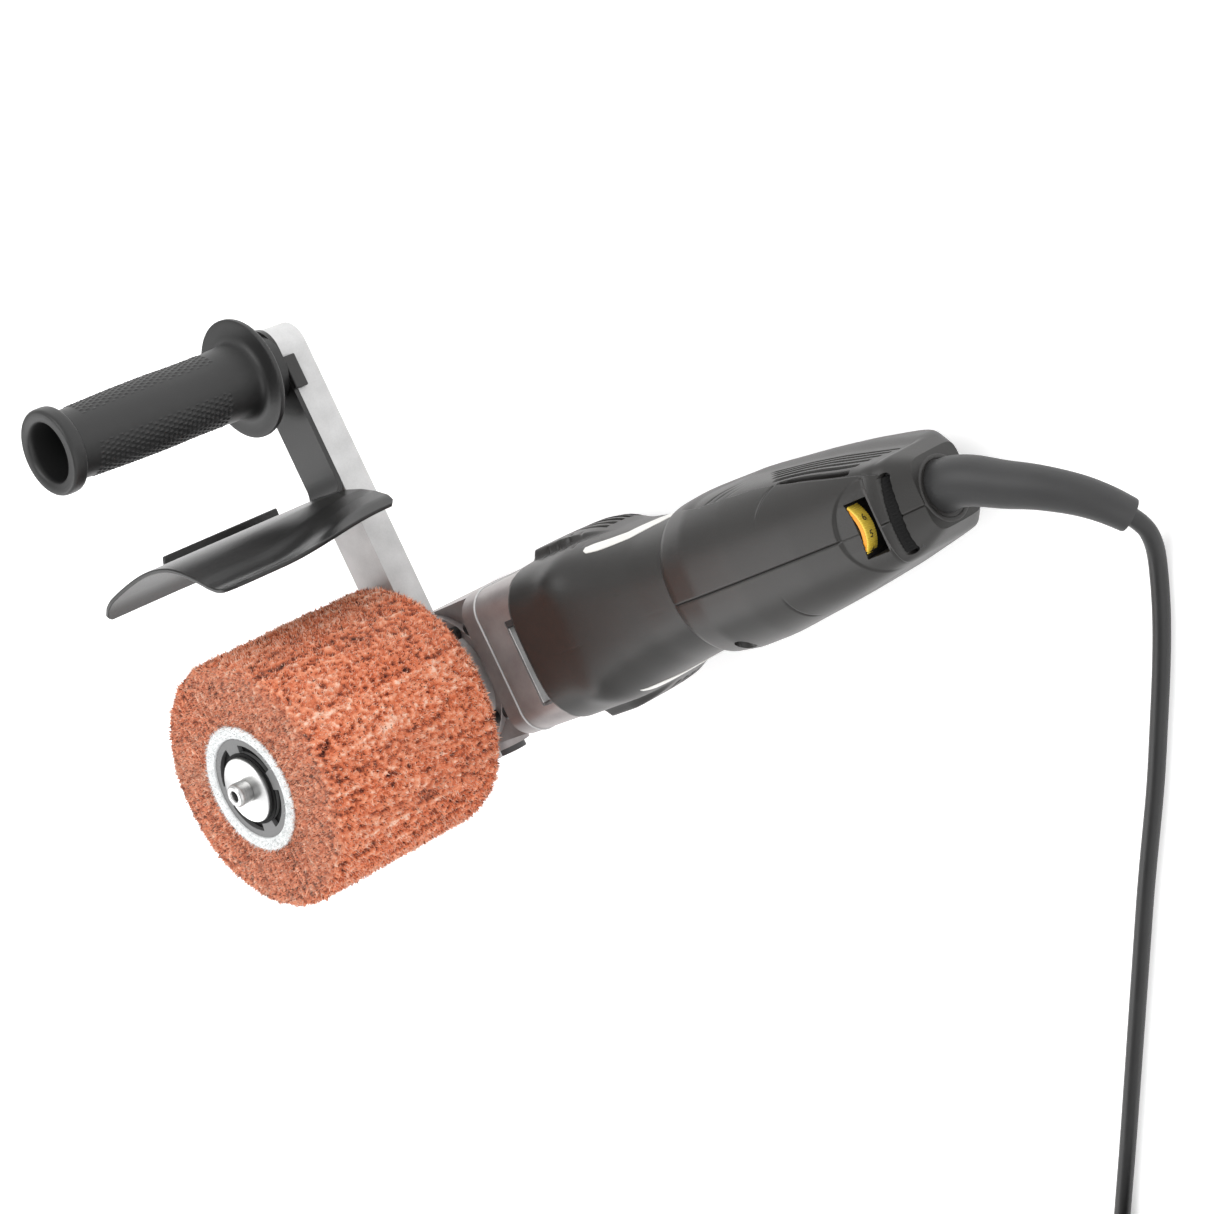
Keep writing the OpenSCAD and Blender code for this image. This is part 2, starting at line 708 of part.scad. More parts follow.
module clamp_screws() {
    color("silver") place() for (y = [-9, 9])
        translate([rear_x - 17, y, -6.5]) cylinder(r = 2.6, h = 2);
}

// Sweeps a ring of the given number of sides along points, with its own radius
// at each point.
function unit(v) = v / norm(v);
function heading(pts, i) = unit(pts[min(i + 1, len(pts) - 1)] - pts[max(i - 1, 0)]);
function ring(c, d, r, n) = let (u = unit(cross(d, [0.02, 0.03, 1])), v = cross(d, u))
    [for (k = [0:n - 1]) c + r * (cos(360 * k / n) * u + sin(360 * k / n) * v)];
module sweep(pts, radii, n) {
    m = len(pts);
    points = [for (i = [0:m - 1]) each ring(pts[i], heading(pts, i), radii[i], n)];
    sides = [for (i = [0:m - 2], k = [0:n - 1])
        [(i + 1) * n + k, (i + 1) * n + (k + 1) % n, i * n + (k + 1) % n, i * n + k]];
    start = [for (k = [0:n - 1]) k];
    end = [for (k = [n - 1:-1:0]) (m - 1) * n + k];
    polyhedron(points, concat(sides, [start], [end]), convexity = 6);
}

// A smooth curve through hand-set points, with a few steps between each pair.
function spline(p, i, t) = let (
    a = p[max(i - 1, 0)], b = p[i], c = p[i + 1], d = p[min(i + 2, len(p) - 1)])
    0.5 * (2 * b + (c - a) * t + (2 * a - 5 * b + 4 * c - d) * t * t
    + (3 * b - a - 3 * c + d) * t * t * t);
function smooth(p, n) = concat(
    [for (i = [0:len(p) - 2], k = [0:n - 1]) spline(p, i, k / n)], [p[len(p) - 1]]);

// Points in the row's own frame, on the surface that the machine lies on.
sleeve_points = [[182, -69, 39.6], [188, -69, 39.6], [196, -71.4, 38.4], [206, -77, 35.4],
                 [217, -83, 31.4], [228, -91, 26.4], [235, -98.5, 22], [239, -106, 17]];
cord_r = cord_d / 2;
floor_z = cord_r;
cord_points = [[239, -106, 17], [239, -113, 11], [236, -121, 6.6], [231, -130, floor_z],
               [223, -148, floor_z], [212, -168, floor_z], [200, -188, floor_z], [186, -211, floor_z],
               [172, -232, floor_z], [158, -253, floor_z], [144, -275, floor_z], [130, -297, floor_z],
               [116, -319, floor_z], [102, -341, floor_z], [88, -363, floor_z], [75, -383, floor_z],
               [62, -403, floor_z], [50, -421, floor_z], [42, -434, floor_z]];
tail_points = [[72.3, -520.4, floor_z], [80, -522.3, floor_z], [88, -524, 3.8], [97, -527, 5],
               [107, -531, 7.6], [117, -534.5, 9.5], [126, -536, 10], [134, -536, 10]];
coil_in_r = 27.5;
coil_out_r = 57.5;
coil_h = 29;
coil_centre = [88, -462, 0];
plug_x = 134;
plug_y = -536;
plug_z = 10;

module cable_sleeve() {
    pts = smooth(sleeve_points, 3);
    n = len(pts) - 1;
    color([0.14, 0.14, 0.14]) {
        difference() {
            sweep(pts, [for (i = [0:n]) 10.6 - 3.8 * i / n], 24);
            place() block([rear_x - 20, -30, -30], [rear_x, 30, 30]);
        }
        place() translate([rear_x - 9.5, 0, 1.6]) along_x() cylinder(r = 7.9, h = 10);
    }
}

module cord_run() {
    pts = smooth(cord_points, 2);
    color("black") sweep(pts, [for (p = pts) cord_r], 10);
}

module cord_coil() {
    color("black") translate(coil_centre)
        rotate_extrude() translate([coil_in_r, 0]) square([coil_out_r - coil_in_r, coil_h]);
}

module cord_tail() {
    pts = smooth(tail_points, 2);
    color("black") sweep(pts, [for (p = pts) cord_r], 10);
}

// A flat two-pin mains plug with a short moulded neck.
module plug_body() {
    color("black") translate([plug_x, plug_y, plug_z]) {
        along_x() cylinder(r = 5.5, h = 12);
        rotate([90, 0, 0]) translate([0, 0, -17]) linear_extrude(34) {
            translate([11, -7]) square([26, 14]);
            translate([14, -plug_z]) square([26, 2 * plug_z]);
        }
    }
}

module plug_pins() {
    color("silver") for (y = [-9.5, 9.5])
        translate([plug_x + 40, plug_y + y, plug_z]) along_x() cylinder(r = 2.4, h = 19);
}

gear_case();
bearing_cover();
cover_screws();
motor_flange();
flange_screws();
spindle();
spindle_bearing();
spindle_bush();
crown_gear();
lock_button();
lock_pin();
lock_spring();
drum_arbor();
drive_keys();
drum_hub();
core_ring();
abrasive_drum();
drum_washer();
drum_bolt();
armature_shaft();
pinion();
fan();
armature_core();
armature_windings();
commutator();
front_bearing();
rear_bearing();
stator_core();
field_coils();
brush_holders();
carbon_brushes();
motor_housing();
name_plates();
rear_shell_upper();
rear_shell_lower();
shell_screws();
speed_dial();
dial_pot();
speed_board();
dust_mesh();
slide_switch();
switch_rod();
switch_block();
cable_clamp();
clamp_screws();
handle_bar();
bar_screw();
guard();
handle_bolt();
handle_nut();
handle_collar();
handle_grip();
cable_sleeve();
cord_run();
cord_coil();
cord_tail();
plug_body();
plug_pins();
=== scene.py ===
"""Looks of a hand-held drum burnishing machine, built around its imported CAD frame.

Machine coordinates are millimetres: X along the motor, Y towards the side
handle, Z out along the drum, with the motor's axis at Y = Z = 0 and the drum's
axis at X = Y = 0. here() turns them into the shared frame's metres.
"""

import json
import math

import bmesh
import bpy
import numpy as np
from mathutils import Matrix, Vector


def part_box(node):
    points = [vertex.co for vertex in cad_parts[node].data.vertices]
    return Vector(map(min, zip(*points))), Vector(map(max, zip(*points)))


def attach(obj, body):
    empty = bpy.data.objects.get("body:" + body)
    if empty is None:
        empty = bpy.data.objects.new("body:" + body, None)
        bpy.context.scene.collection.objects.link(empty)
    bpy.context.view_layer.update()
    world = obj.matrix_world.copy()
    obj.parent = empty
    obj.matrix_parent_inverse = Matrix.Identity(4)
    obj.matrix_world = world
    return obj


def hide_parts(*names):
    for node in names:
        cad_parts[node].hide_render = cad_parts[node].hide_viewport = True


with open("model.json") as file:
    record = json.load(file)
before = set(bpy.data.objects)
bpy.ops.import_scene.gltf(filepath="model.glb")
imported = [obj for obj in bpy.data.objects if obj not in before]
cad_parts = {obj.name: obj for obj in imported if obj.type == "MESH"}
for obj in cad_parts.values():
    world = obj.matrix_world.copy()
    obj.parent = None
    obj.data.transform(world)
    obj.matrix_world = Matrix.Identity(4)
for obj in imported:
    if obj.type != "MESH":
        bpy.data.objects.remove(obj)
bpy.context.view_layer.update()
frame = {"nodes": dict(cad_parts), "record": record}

MM = 0.001
ROOT = "machine"


def middle(node):
    low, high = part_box(node)
    return (low + high) / 2


DRUM_AXIS = middle("abrasive_drum")
MOTOR_AXIS = middle("stator_core")
HOME = np.array([DRUM_AXIS.x, DRUM_AXIS.y, MOTOR_AXIS.z])


def here(points):
    """Machine millimetres to the shared frame's metres, for one point or an array."""
    return HOME + np.asarray(points, float) * MM


# ---- camera ----------------------------------------------------------------
SENSOR = 36
LENS = 77.0
FAR_CLIP = 50
CAMERA_AT = (0.8508, -0.0065, 0.7842)
CAMERA_RIGHT = Vector((0.6013, -0.4234, -0.6776))
CAMERA_UP = Vector((0.2392, 0.9046, -0.3529))


def make_camera():
    data = bpy.data.cameras.new("camera")
    data.sensor_width = SENSOR
    data.lens = LENS
    data.clip_end = FAR_CLIP
    cam = bpy.data.objects.new("camera", data)
    bpy.context.scene.collection.objects.link(cam)
    back = CAMERA_RIGHT.cross(CAMERA_UP).normalized()
    turn = Matrix((CAMERA_RIGHT, CAMERA_UP, back)).transposed().to_4x4()
    cam.matrix_world = Matrix.Translation(CAMERA_AT) @ turn
    bpy.context.scene.camera = cam


make_camera()


# ---- node helpers ----------------------------------------------------------
class Shader:
    """A material with a Principled shader, and short calls for its nodes."""

    def __init__(self, name, rough=0.5, metal=0.0, specular=0.5):
        self.name = name
        self.mat = bpy.data.materials.new(name)
        self.mat.use_nodes = True
        self.tree = self.mat.node_tree
        self.bsdf = self.tree.nodes["Principled BSDF"]
        self.bsdf.inputs["Roughness"].default_value = rough
        self.bsdf.inputs["Metallic"].default_value = metal
        self.bsdf.inputs["Specular IOR Level"].default_value = specular
        self.coords = self.tree.nodes.new("ShaderNodeTexCoord").outputs["Object"]

    def link(self, a, b):
        self.tree.links.new(a, b)

    def put(self, value, socket):
        """Links another node's socket, or sets a plain number or colour."""
        if isinstance(value, bpy.types.NodeSocket):
            self.link(value, socket)
        elif isinstance(value, (int, float)):
            socket.default_value = value
        else:
            socket.default_value = (*value, 1.0)

    def texture(self, kind, scale, stretch):
        place = self.tree.nodes.new("ShaderNodeMapping")
        place.inputs["Scale"].default_value = stretch
        self.link(self.coords, place.inputs["Vector"])
        tex = self.tree.nodes.new(kind)
        tex.inputs["Scale"].default_value = scale
        self.link(place.outputs[0], tex.inputs["Vector"])
        return tex

    def noise(self, scale, detail=3.0, rough=0.5, stretch=(1, 1, 1)):
        tex = self.texture("ShaderNodeTexNoise", scale, stretch)
        tex.inputs["Detail"].default_value = detail
        tex.inputs["Roughness"].default_value = rough
        return tex.outputs["Fac"]

    def cells(self, scale):
        return self.texture("ShaderNodeTexVoronoi", scale, (1, 1, 1)).outputs["Distance"]

    def attribute(self, name):
        node = self.tree.nodes.new("ShaderNodeAttribute")
        node.attribute_name = name
        return node.outputs["Fac"]

    def ramp(self, factor, stops):
        """Colour along a factor. stops are (place, colour) with linear colours."""
        node = self.tree.nodes.new("ShaderNodeValToRGB")
        items = node.color_ramp.elements
        while len(items) < len(stops):
            items.new(0.5)
        for item, (place, colour) in zip(items, stops):
            item.position = place
            item.color = (*colour, 1.0)
        self.link(factor, node.inputs["Fac"])
        return node.outputs["Color"]

    def mix(self, factor, a, b, mode="MIX"):
        node = self.tree.nodes.new("ShaderNodeMix")
        node.data_type = "RGBA"
        node.blend_type = mode
        self.put(factor, node.inputs[0])
        self.put(a, node.inputs[6])
        self.put(b, node.inputs[7])
        return node.outputs[2]

    def span(self, factor, low, high):
        node = self.tree.nodes.new("ShaderNodeMapRange")
        node.inputs["To Min"].default_value = low
        node.inputs["To Max"].default_value = high
        self.link(factor, node.inputs["Value"])
        return node.outputs["Result"]

    def add(self, a, b):
        node = self.tree.nodes.new("ShaderNodeMath")
        self.link(a, node.inputs[0])
        self.link(b, node.inputs[1])
        return node.outputs[0]

    def colour(self, value):
        self.link(value, self.bsdf.inputs["Base Color"])

    def rough(self, factor, low, high):
        self.link(self.span(factor, low, high), self.bsdf.inputs["Roughness"])

    def bump(self, height, distance, strength=1.0):
        node = self.tree.nodes.new("ShaderNodeBump")
        node.inputs["Distance"].default_value = distance
        node.inputs["Strength"].default_value = strength
        self.link(height, node.inputs["Height"])
        self.link(node.outputs["Normal"], self.bsdf.inputs["Normal"])


def grained(name, dark, light, rough=(0.4, 0.6), grain=900, depth=0.00012, metal=0.0, patch=40,
            specular=0.5):
    """Two close colours over broad patches, with a fine bump and uneven gloss."""
    s = Shader(name, metal=metal, specular=specular)
    broad = s.noise(patch, 4.0)
    s.colour(s.ramp(broad, [(0.3, dark), (0.7, light)]))
    s.rough(broad, *rough)
    s.bump(s.noise(grain, 4.0, 0.6), depth)
    return s


def worn(s, colour, scale, amount):
    """Small pale scuffs where a stretched noise is high."""
    marks = s.noise(scale, 8.0, 0.75, (1, 3, 1))
    mask = s.ramp(marks, [(amount, BLACK), (amount + 0.09, WHITE)])
    base = s.bsdf.inputs["Base Color"].links[0].from_socket
    s.colour(s.mix(s.span(mask, 0.0, 0.55), base, colour))
    return s


def grey(value):
    return (value, value, value)


BLACK = grey(0)
WHITE = grey(1)


# ---- materials -------------------------------------------------------------
def fleece():
    """Red abrasive fleece: painted shade in the low pits, painted light on the high points, and scattered
    grit.
    """
    s = Shader("red_fleece", 0.93, specular=0.12)
    fine = s.noise(1500, 3.0, 0.7)
    # Painted shade and light: the height ramp runs from near black in the pits to pale at the highest points.
    body = s.ramp(s.add(s.attribute("height"), s.span(fine, -0.28, 0.28)), [
        (0.04, (0.04, 0.016, 0.014)), (0.24, (0.25, 0.065, 0.038)),
        (0.48, (0.66, 0.170, 0.075)), (0.76, (0.82, 0.32, 0.18)), (0.97, (0.90, 0.60, 0.46))])
    grit = s.ramp(s.cells(620), [(0.16, WHITE), (0.27, BLACK)])
    rare = s.ramp(s.noise(420, 2.0), [(0.50, BLACK), (0.58, WHITE)])
    body = s.mix(s.mix(1.0, grit, rare, "MULTIPLY"), body, (0.05, 0.028, 0.028))
    pale = s.ramp(s.noise(800, 2.0, 0.5), [(0.64, BLACK), (0.70, WHITE)])
    body = s.mix(s.span(pale, 0.0, 0.55), body, (0.82, 0.56, 0.44))
    # Painted shade: a darker brown copy of the fleece, mixed in by the amount that make_drum sets for each
    # point, high on the drum's end faces.
    painted_end_shade = s.mix(0.5, body, (0.40, 0.25, 0.19))
    s.colour(s.mix(s.attribute("end_face_shade"), body, painted_end_shade))
    s.bump(s.noise(1900, 3.0, 0.7), 0.0006, 0.8)
    return s


def felt():
    s = Shader("white_felt", 0.95, specular=0.1)
    s.colour(s.ramp(s.noise(700, 4.0, 0.7), [(0.3, (0.62, 0.64, 0.64)), (0.6, (0.86, 0.87, 0.87))]))
    s.bump(s.noise(1400, 3.0, 0.7), 0.0006, 0.8)
    return s


def turned_steel():
    s = Shader("bright_steel", 0.3, 1.0)
    lines = s.noise(300, 4.0, 0.7, (1, 1, 14))
    s.colour(s.ramp(lines, [(0.3, grey(0.34)), (0.7, (0.66, 0.66, 0.65))]))
    s.rough(lines, 0.24, 0.40)
    s.bump(lines, 0.00003, 0.6)
    return s


def faced_steel():
    """Steel faced on a lathe, with painted highlight and shade in light and dark fans."""
    s = Shader("faced_steel", 0.32, 1.0)
    fans = s.add(s.attribute("sweep"), s.span(s.noise(500, 3.0, 0.7), -0.2, 0.2))
    s.colour(s.ramp(fans, [(0.1, grey(0.30)), (0.9, (0.72, 0.72, 0.71))]))
    return s


def cast_alloy():
    s = Shader("cast_alloy", 0.42, 0.55)
    broad = s.noise(55, 5.0, 0.6)
    fine = s.noise(1300, 3.0, 0.7)
    s.colour(s.ramp(s.add(broad, s.span(fine, -0.12, 0.12)), [
        (0.25, (0.26, 0.235, 0.235)), (0.75, (0.40, 0.375, 0.37))]))
    s.rough(broad, 0.34, 0.52)
    s.bump(fine, 0.00008, 0.7)
    return worn(s, grey(0.62), 45, 0.66)


def silver_paint():
    s = Shader("silver_paint", 0.5, 0.25)
    fine = s.noise(1100, 3.0, 0.6)
    s.colour(s.ramp(s.add(s.noise(70, 3.0), s.span(fine, -0.2, 0.2)), [(0.2, grey(0.44)), (0.8, grey(0.60))]))
    s.rough(fine, 0.42, 0.58)
    s.bump(fine, 0.00009, 0.7)
    return s


def powder_coat():
    s = grained("black_coating", (0.008, 0.0078, 0.0076), (0.013, 0.0126, 0.0124), (0.26, 0.36), 1500,
                0.00006, patch=25)
    return worn(s, grey(0.16), 90, 0.70)


def housing_plastic():
    s = grained("housing_plastic", (0.017, 0.016, 0.015), (0.023, 0.0218, 0.0205), (0.36, 0.46), 1700,
                0.00005, patch=18)
    return worn(s, (0.10, 0.098, 0.095), 120, 0.72)


def grip_rubber():
    s = grained("grip_rubber", grey(0.009), grey(0.014), (0.40, 0.52), 1500, 0.00005, patch=30)
    return worn(s, grey(0.15), 110, 0.69)


def make_materials():
    """One material for each of the record's material slots."""
    made = [
        fleece(), felt(), turned_steel(), cast_alloy(), powder_coat(), housing_plastic(), grip_rubber(),
        grained("dark_steel", grey(0.03), grey(0.07), (0.25, 0.4), metal=0.8),
        grained("gear_steel", grey(0.16), grey(0.28), (0.25, 0.45), metal=1.0),
        grained("bronze", (0.42, 0.28, 0.12), (0.60, 0.42, 0.20), (0.3, 0.45), metal=1.0),
        grained("copper_wire", (0.32, 0.12, 0.05), (0.55, 0.25, 0.12), (0.3, 0.5), 500, metal=0.7),
        grained("carbon", grey(0.003), grey(0.009), (0.6, 0.8), specular=0.2),
        grained("black_plastic", (0.035, 0.035, 0.036), (0.055, 0.055, 0.056), (0.4, 0.55)),
        grained("grey_plastic", grey(0.12), grey(0.19)),
        grained("blue_plastic", (0.03, 0.10, 0.35), (0.06, 0.17, 0.5)),
        grained("board", (0.02, 0.14, 0.06), (0.05, 0.25, 0.12)),
        grained("yellow_plastic", (0.90, 0.62, 0.05), (0.95, 0.72, 0.12), (0.35, 0.5), 1200, patch=60),
        grained("pale_label", (0.66, 0.65, 0.62), (0.80, 0.79, 0.76), (0.25, 0.35), 600, 0.00003),
        grained("sleeve_rubber", (0.022, 0.022, 0.0225), (0.032, 0.032, 0.0325), (0.45, 0.58), 1300,
                0.00006, patch=30),
        grained("cord_rubber", (0.006, 0.006, 0.0062), (0.011, 0.011, 0.0113), (0.38, 0.5), 1000,
                0.00006, patch=60)]
    return {s.name: s.mat for s in made}


MATERIALS = make_materials()
SILVER_PAINT = silver_paint().mat
FACED_STEEL = faced_steel().mat
# Painted shade: an orange, shaded copy of the dial's yellow, used for a ring on its top face.
DIAL_SHADE_PAINT = grained("painted_dial_shade", (0.80, 0.30, 0.008), (0.88, 0.38, 0.015), (0.4, 0.5), 900).mat
HUB_PLASTIC = grained("hub_plastic", grey(0.10), grey(0.15), (0.4, 0.55), 1200, 0.00006).mat
INK = grained("ink", (0.03, 0.025, 0.02), (0.05, 0.04, 0.03)).mat
SLOT_OF = {part["node"]: part["material_slot"] for part in frame["record"]["subparts"]}


def paint_frame():
    """Every CAD node gets its slot's material, shown or not."""
    for name, obj in frame["nodes"].items():
        obj.data.materials.clear()
        obj.data.materials.append(MATERIALS[SLOT_OF[name]])


paint_frame()


# ---- mesh helpers ----------------------------------------------------------
def finish_piece(obj, slot, body=ROOT, replaces=(), material=None, angle=35):
    """Gives a new piece its material, smooth shading and place in the model."""
    obj.data.materials.clear()
    obj.data.materials.append(material or MATERIALS[slot])
    if obj.type == "MESH":
        obj.data.polygons.foreach_set("use_smooth", [True] * len(obj.data.polygons))
        obj.data.set_sharp_from_angle(angle=math.radians(angle))
    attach(obj, body)
    if replaces:
        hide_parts(*replaces)
    return obj


def new_object(name, mesh):
    obj = bpy.data.objects.new(name, mesh)
    bpy.context.scene.collection.objects.link(obj)
    return obj


def from_bmesh(name, bm):
    bmesh.ops.recalc_face_normals(bm, faces=bm.faces)
    mesh = bpy.data.meshes.new(name)
    bm.to_mesh(mesh)
    bm.free()
    return new_object(name, mesh)


def from_arrays(name, verts, faces):
    mesh = bpy.data.meshes.new(name)
    mesh.from_pydata([tuple(v) for v in verts], [], faces)
    mesh.validate()
    mesh.update()
    return new_object(name, mesh)


def flip_inside_out(obj):
    """Turns the faces round if they point into the piece."""
    bm = bmesh.new()
    bm.from_mesh(obj.data)
    if bm.calc_volume(signed=True) < 0:
        bmesh.ops.reverse_faces(bm, faces=bm.faces)
        bm.to_mesh(obj.data)
    bm.free()
    return obj


def closed_piece(name, points, faces):
    """A closed piece from machine points, with its faces pointing outwards."""
    return flip_inside_out(from_arrays(name, here(points).reshape(-1, 3), faces))


def bevelled(obj, width, segments, limit):
    """Rounds the edges where faces meet at more than limit degrees."""
    bevel = obj.modifiers.new("edges", "BEVEL")
    bevel.width = width * MM
    bevel.segments = segments
    bevel.limit_method = "ANGLE"
    bevel.angle_limit = math.radians(limit)
    return obj


def quads(rows, cols, wrap_cols=False, wrap_rows=False, first=0):
    """Faces of a grid of rows by cols points."""
    last_i = rows if wrap_rows else rows - 1
    last_j = cols if wrap_cols else cols - 1
    i, j = np.meshgrid(np.arange(last_i), np.arange(last_j), indexing="ij")
    a = i * cols + j
    b = i * cols + (j + 1) % cols
    c = (i + 1) % rows * cols + (j + 1) % cols
    d = (i + 1) % rows * cols + j
    return (np.stack([a, b, c, d], -1).reshape(-1, 4) + first).tolist()


def tube_faces(rows, cols):
    """Faces of a tube of rows rings with cols points each, closed at both ends."""
    last = (rows - 1) * cols
    ends = [list(range(cols)), list(range(last, last + cols))[::-1]]
    return quads(rows, cols, wrap_cols=True) + ends


def slab(name, upper, lower):
    """A closed piece between two grids of machine points, joined along their rims."""
    rows, cols = upper.shape[:2]
    n = rows * cols
    rim = list(range(cols)) + [i * cols + cols - 1 for i in range(1, rows)]
    rim += [(rows - 1) * cols + j for j in range(cols - 2, -1, -1)]
    rim += [i * cols for i in range(rows - 2, 0, -1)]
    faces = quads(rows, cols) + [f[::-1] for f in quads(rows, cols, first=n)]
    faces += [[b, a, a + n, b + n] for a, b in zip(rim, rim[1:] + rim[:1])]
    return closed_piece(name, np.concatenate([upper.reshape(-1, 3), lower.reshape(-1, 3)]), faces)


def turned(radius, angle, height, centre=(0, 0)):
    """Points at a radius, angle and height about an upright axis through centre."""
    flat = centre[0] + radius * np.cos(angle), centre[1] + radius * np.sin(angle)
    return np.stack([*flat, height + 0 * angle], -1)


def lathe(name, outline, centre=(0, 0, 0), axis="Z", turns=96):
    """A closed outline of (radius, height) turned about an axis through centre."""
    angles = np.linspace(0, math.tau, turns, endpoint=False)
    r, h = np.array(outline, float).T[..., None]
    points = turned(r, angles, h)
    if axis == "X":
        points = np.roll(points, 1, axis=-1)
    return closed_piece(name, points + np.array(centre, float), quads(len(outline), turns, True, True))


def rounded(outline, radius, steps=3):
    """The outline with each corner cut by a small arc-like curve."""
    out = []
    n = len(outline)
    for i in range(n):
        a, b, c = (np.array(outline[k % n], float) for k in (i - 1, i, i + 1))
        back, on = a - b, c - b
        cut = min(radius, 0.45 * np.linalg.norm(back), 0.45 * np.linalg.norm(on))
        p, q = b + back / np.linalg.norm(back) * cut, b + on / np.linalg.norm(on) * cut
        for t in np.linspace(0, 1, steps + 1):
            out.append(tuple((1 - t) ** 2 * p + 2 * t * (1 - t) * b + t * t * q))
    return out


def smooth_step(t):
    t = np.clip(t, 0.0, 1.0)
    return t * t * (3 - 2 * t)


def inside_box(values, low, high, soft):
    """1 between low and high, 0 outside, with soft edges."""
    return smooth_step((values - low) / soft + 0.5) * smooth_step((high - values) / soft + 0.5)


def softened(node, width, body=ROOT, material=None, segments=2):
    """A copy of a CAD node's mesh with its sharp edges rounded."""
    bm = bmesh.new()
    bm.from_mesh(frame["nodes"][node].data)
    bmesh.ops.remove_doubles(bm, verts=bm.verts, dist=1e-6)
    bmesh.ops.dissolve_limit(bm, angle_limit=math.radians(1.0), verts=bm.verts, edges=bm.edges)
    obj = bevelled(from_bmesh(node + "_soft", bm), width, segments, 32)
    return finish_piece(obj, SLOT_OF[node], body, (node,), material, angle=30)


# ---- cord, sleeve and plug -------------------------------------------------
CORD_D = 0.0072
CORD_R = CORD_D / 2
SLEEVE_POINTS = [
    (0.182, -0.069, 0.0396), (0.188, -0.069, 0.0396), (0.196, -0.0714, 0.0384), (0.206, -0.077, 0.0354),
    (0.217, -0.083, 0.0314), (0.228, -0.091, 0.0264), (0.235, -0.0985, 0.022), (0.239, -0.106, 0.017)]
CORD_POINTS = [
    (0.239, -0.106, 0.017), (0.239, -0.113, 0.011), (0.236, -0.121, 0.0066), (0.231, -0.130, 0.0036),
    (0.223, -0.148, 0.0036), (0.212, -0.168, 0.0036), (0.200, -0.188, 0.0036), (0.186, -0.211, 0.0036),
    (0.172, -0.232, 0.0036), (0.158, -0.253, 0.0036), (0.144, -0.275, 0.0036), (0.130, -0.297, 0.0036),
    (0.116, -0.319, 0.0036), (0.102, -0.341, 0.0036), (0.088, -0.363, 0.0036), (0.075, -0.383, 0.0036),
    (0.062, -0.403, 0.0036), (0.050, -0.421, 0.0036), (0.042, -0.434, 0.0036)]
TAIL_POINTS = [
    (0.0723, -0.5204, 0.0036), (0.080, -0.5223, 0.0036), (0.088, -0.524, 0.0038), (0.097, -0.527, 0.005),
    (0.107, -0.531, 0.0076), (0.117, -0.5345, 0.0095), (0.126, -0.536, 0.010), (0.134, -0.536, 0.010)]
COIL_CENTRE = (0.088, -0.462)


def smoothed(points, steps):
    """A Catmull-Rom curve through the points."""
    pts = np.array(points, float)
    out = []
    for i in range(len(pts) - 1):
        a, b, c, d = pts[max(i - 1, 0)], pts[i], pts[i + 1], pts[min(i + 2, len(pts) - 1)]
        for t in np.arange(steps) / steps:
            out.append(0.5 * (2 * b + (c - a) * t + (2 * a - 5 * b + 4 * c - d) * t ** 2
                              + (3 * b - a - 3 * c + d) * t ** 3))
    out.append(pts[-1])
    return np.array(out)


COIL_LAYERS = 4
LAYER_TURNS = 2.9375
CHANGE_TURNS = 0.41667
COIL_PITCH = 0.0077
LAYER_RISE = 0.00725
LANE_R = 0.0605
POINTS_PER_TURN = 24
DROP_POINTS = 10


def coil_path(start, end):
    """Winds the cord round COIL_CENTRE: out to in, up a layer, in to out, and so on.

    The last stretch moves outside the turns and comes down to the surface.
    """
    centre = np.array(COIL_CENTRE)
    first = np.array(start[:2]) - centre
    outer = np.linalg.norm(first)
    first_angle = math.atan2(first[1], first[0])
    across = LAYER_TURNS * COIL_PITCH
    stops = []
    turn = 0.0
    for layer in range(COIL_LAYERS):
        near, far = (outer, outer - across) if layer % 2 == 0 else (outer - across, outer)
        z = CORD_R + layer * LAYER_RISE
        stops += [(turn, near, z), (turn + LAYER_TURNS, far, z)]
        turn += LAYER_TURNS + CHANGE_TURNS
    turns = [stop[0] for stop in stops]
    last_turn, _, top = stops[-1]
    out = []
    for t in np.arange(1, int(last_turn * POINTS_PER_TURN)) / POINTS_PER_TURN:
        k = min(int(np.searchsorted(turns, t, side="right")) - 1, len(stops) - 2)
        part = (t - turns[k]) / (turns[k + 1] - turns[k])
        r = stops[k][1] + part * (stops[k + 1][1] - stops[k][1])
        z = stops[k][2] + float(smooth_step(part)) * (stops[k + 1][2] - stops[k][2])
        out.append((first_angle + math.tau * t, r, z))
    from_angle = first_angle + math.tau * last_turn
    final = np.array(end[:2]) - centre
    drop = (math.atan2(final[1], final[0]) - from_angle) % math.tau
    for part in np.arange(DROP_POINTS) / DROP_POINTS:
        r = outer + float(smooth_step(part / 0.6)) * (LANE_R - outer)
        z = top - float(smooth_step((part - 0.28) / 0.72)) * (top - CORD_R)
        out.append((from_angle + part * drop, r, z))
    return np.array([(centre[0] + r * math.cos(a), centre[1] + r * math.sin(a), z) for a, r, z in out])


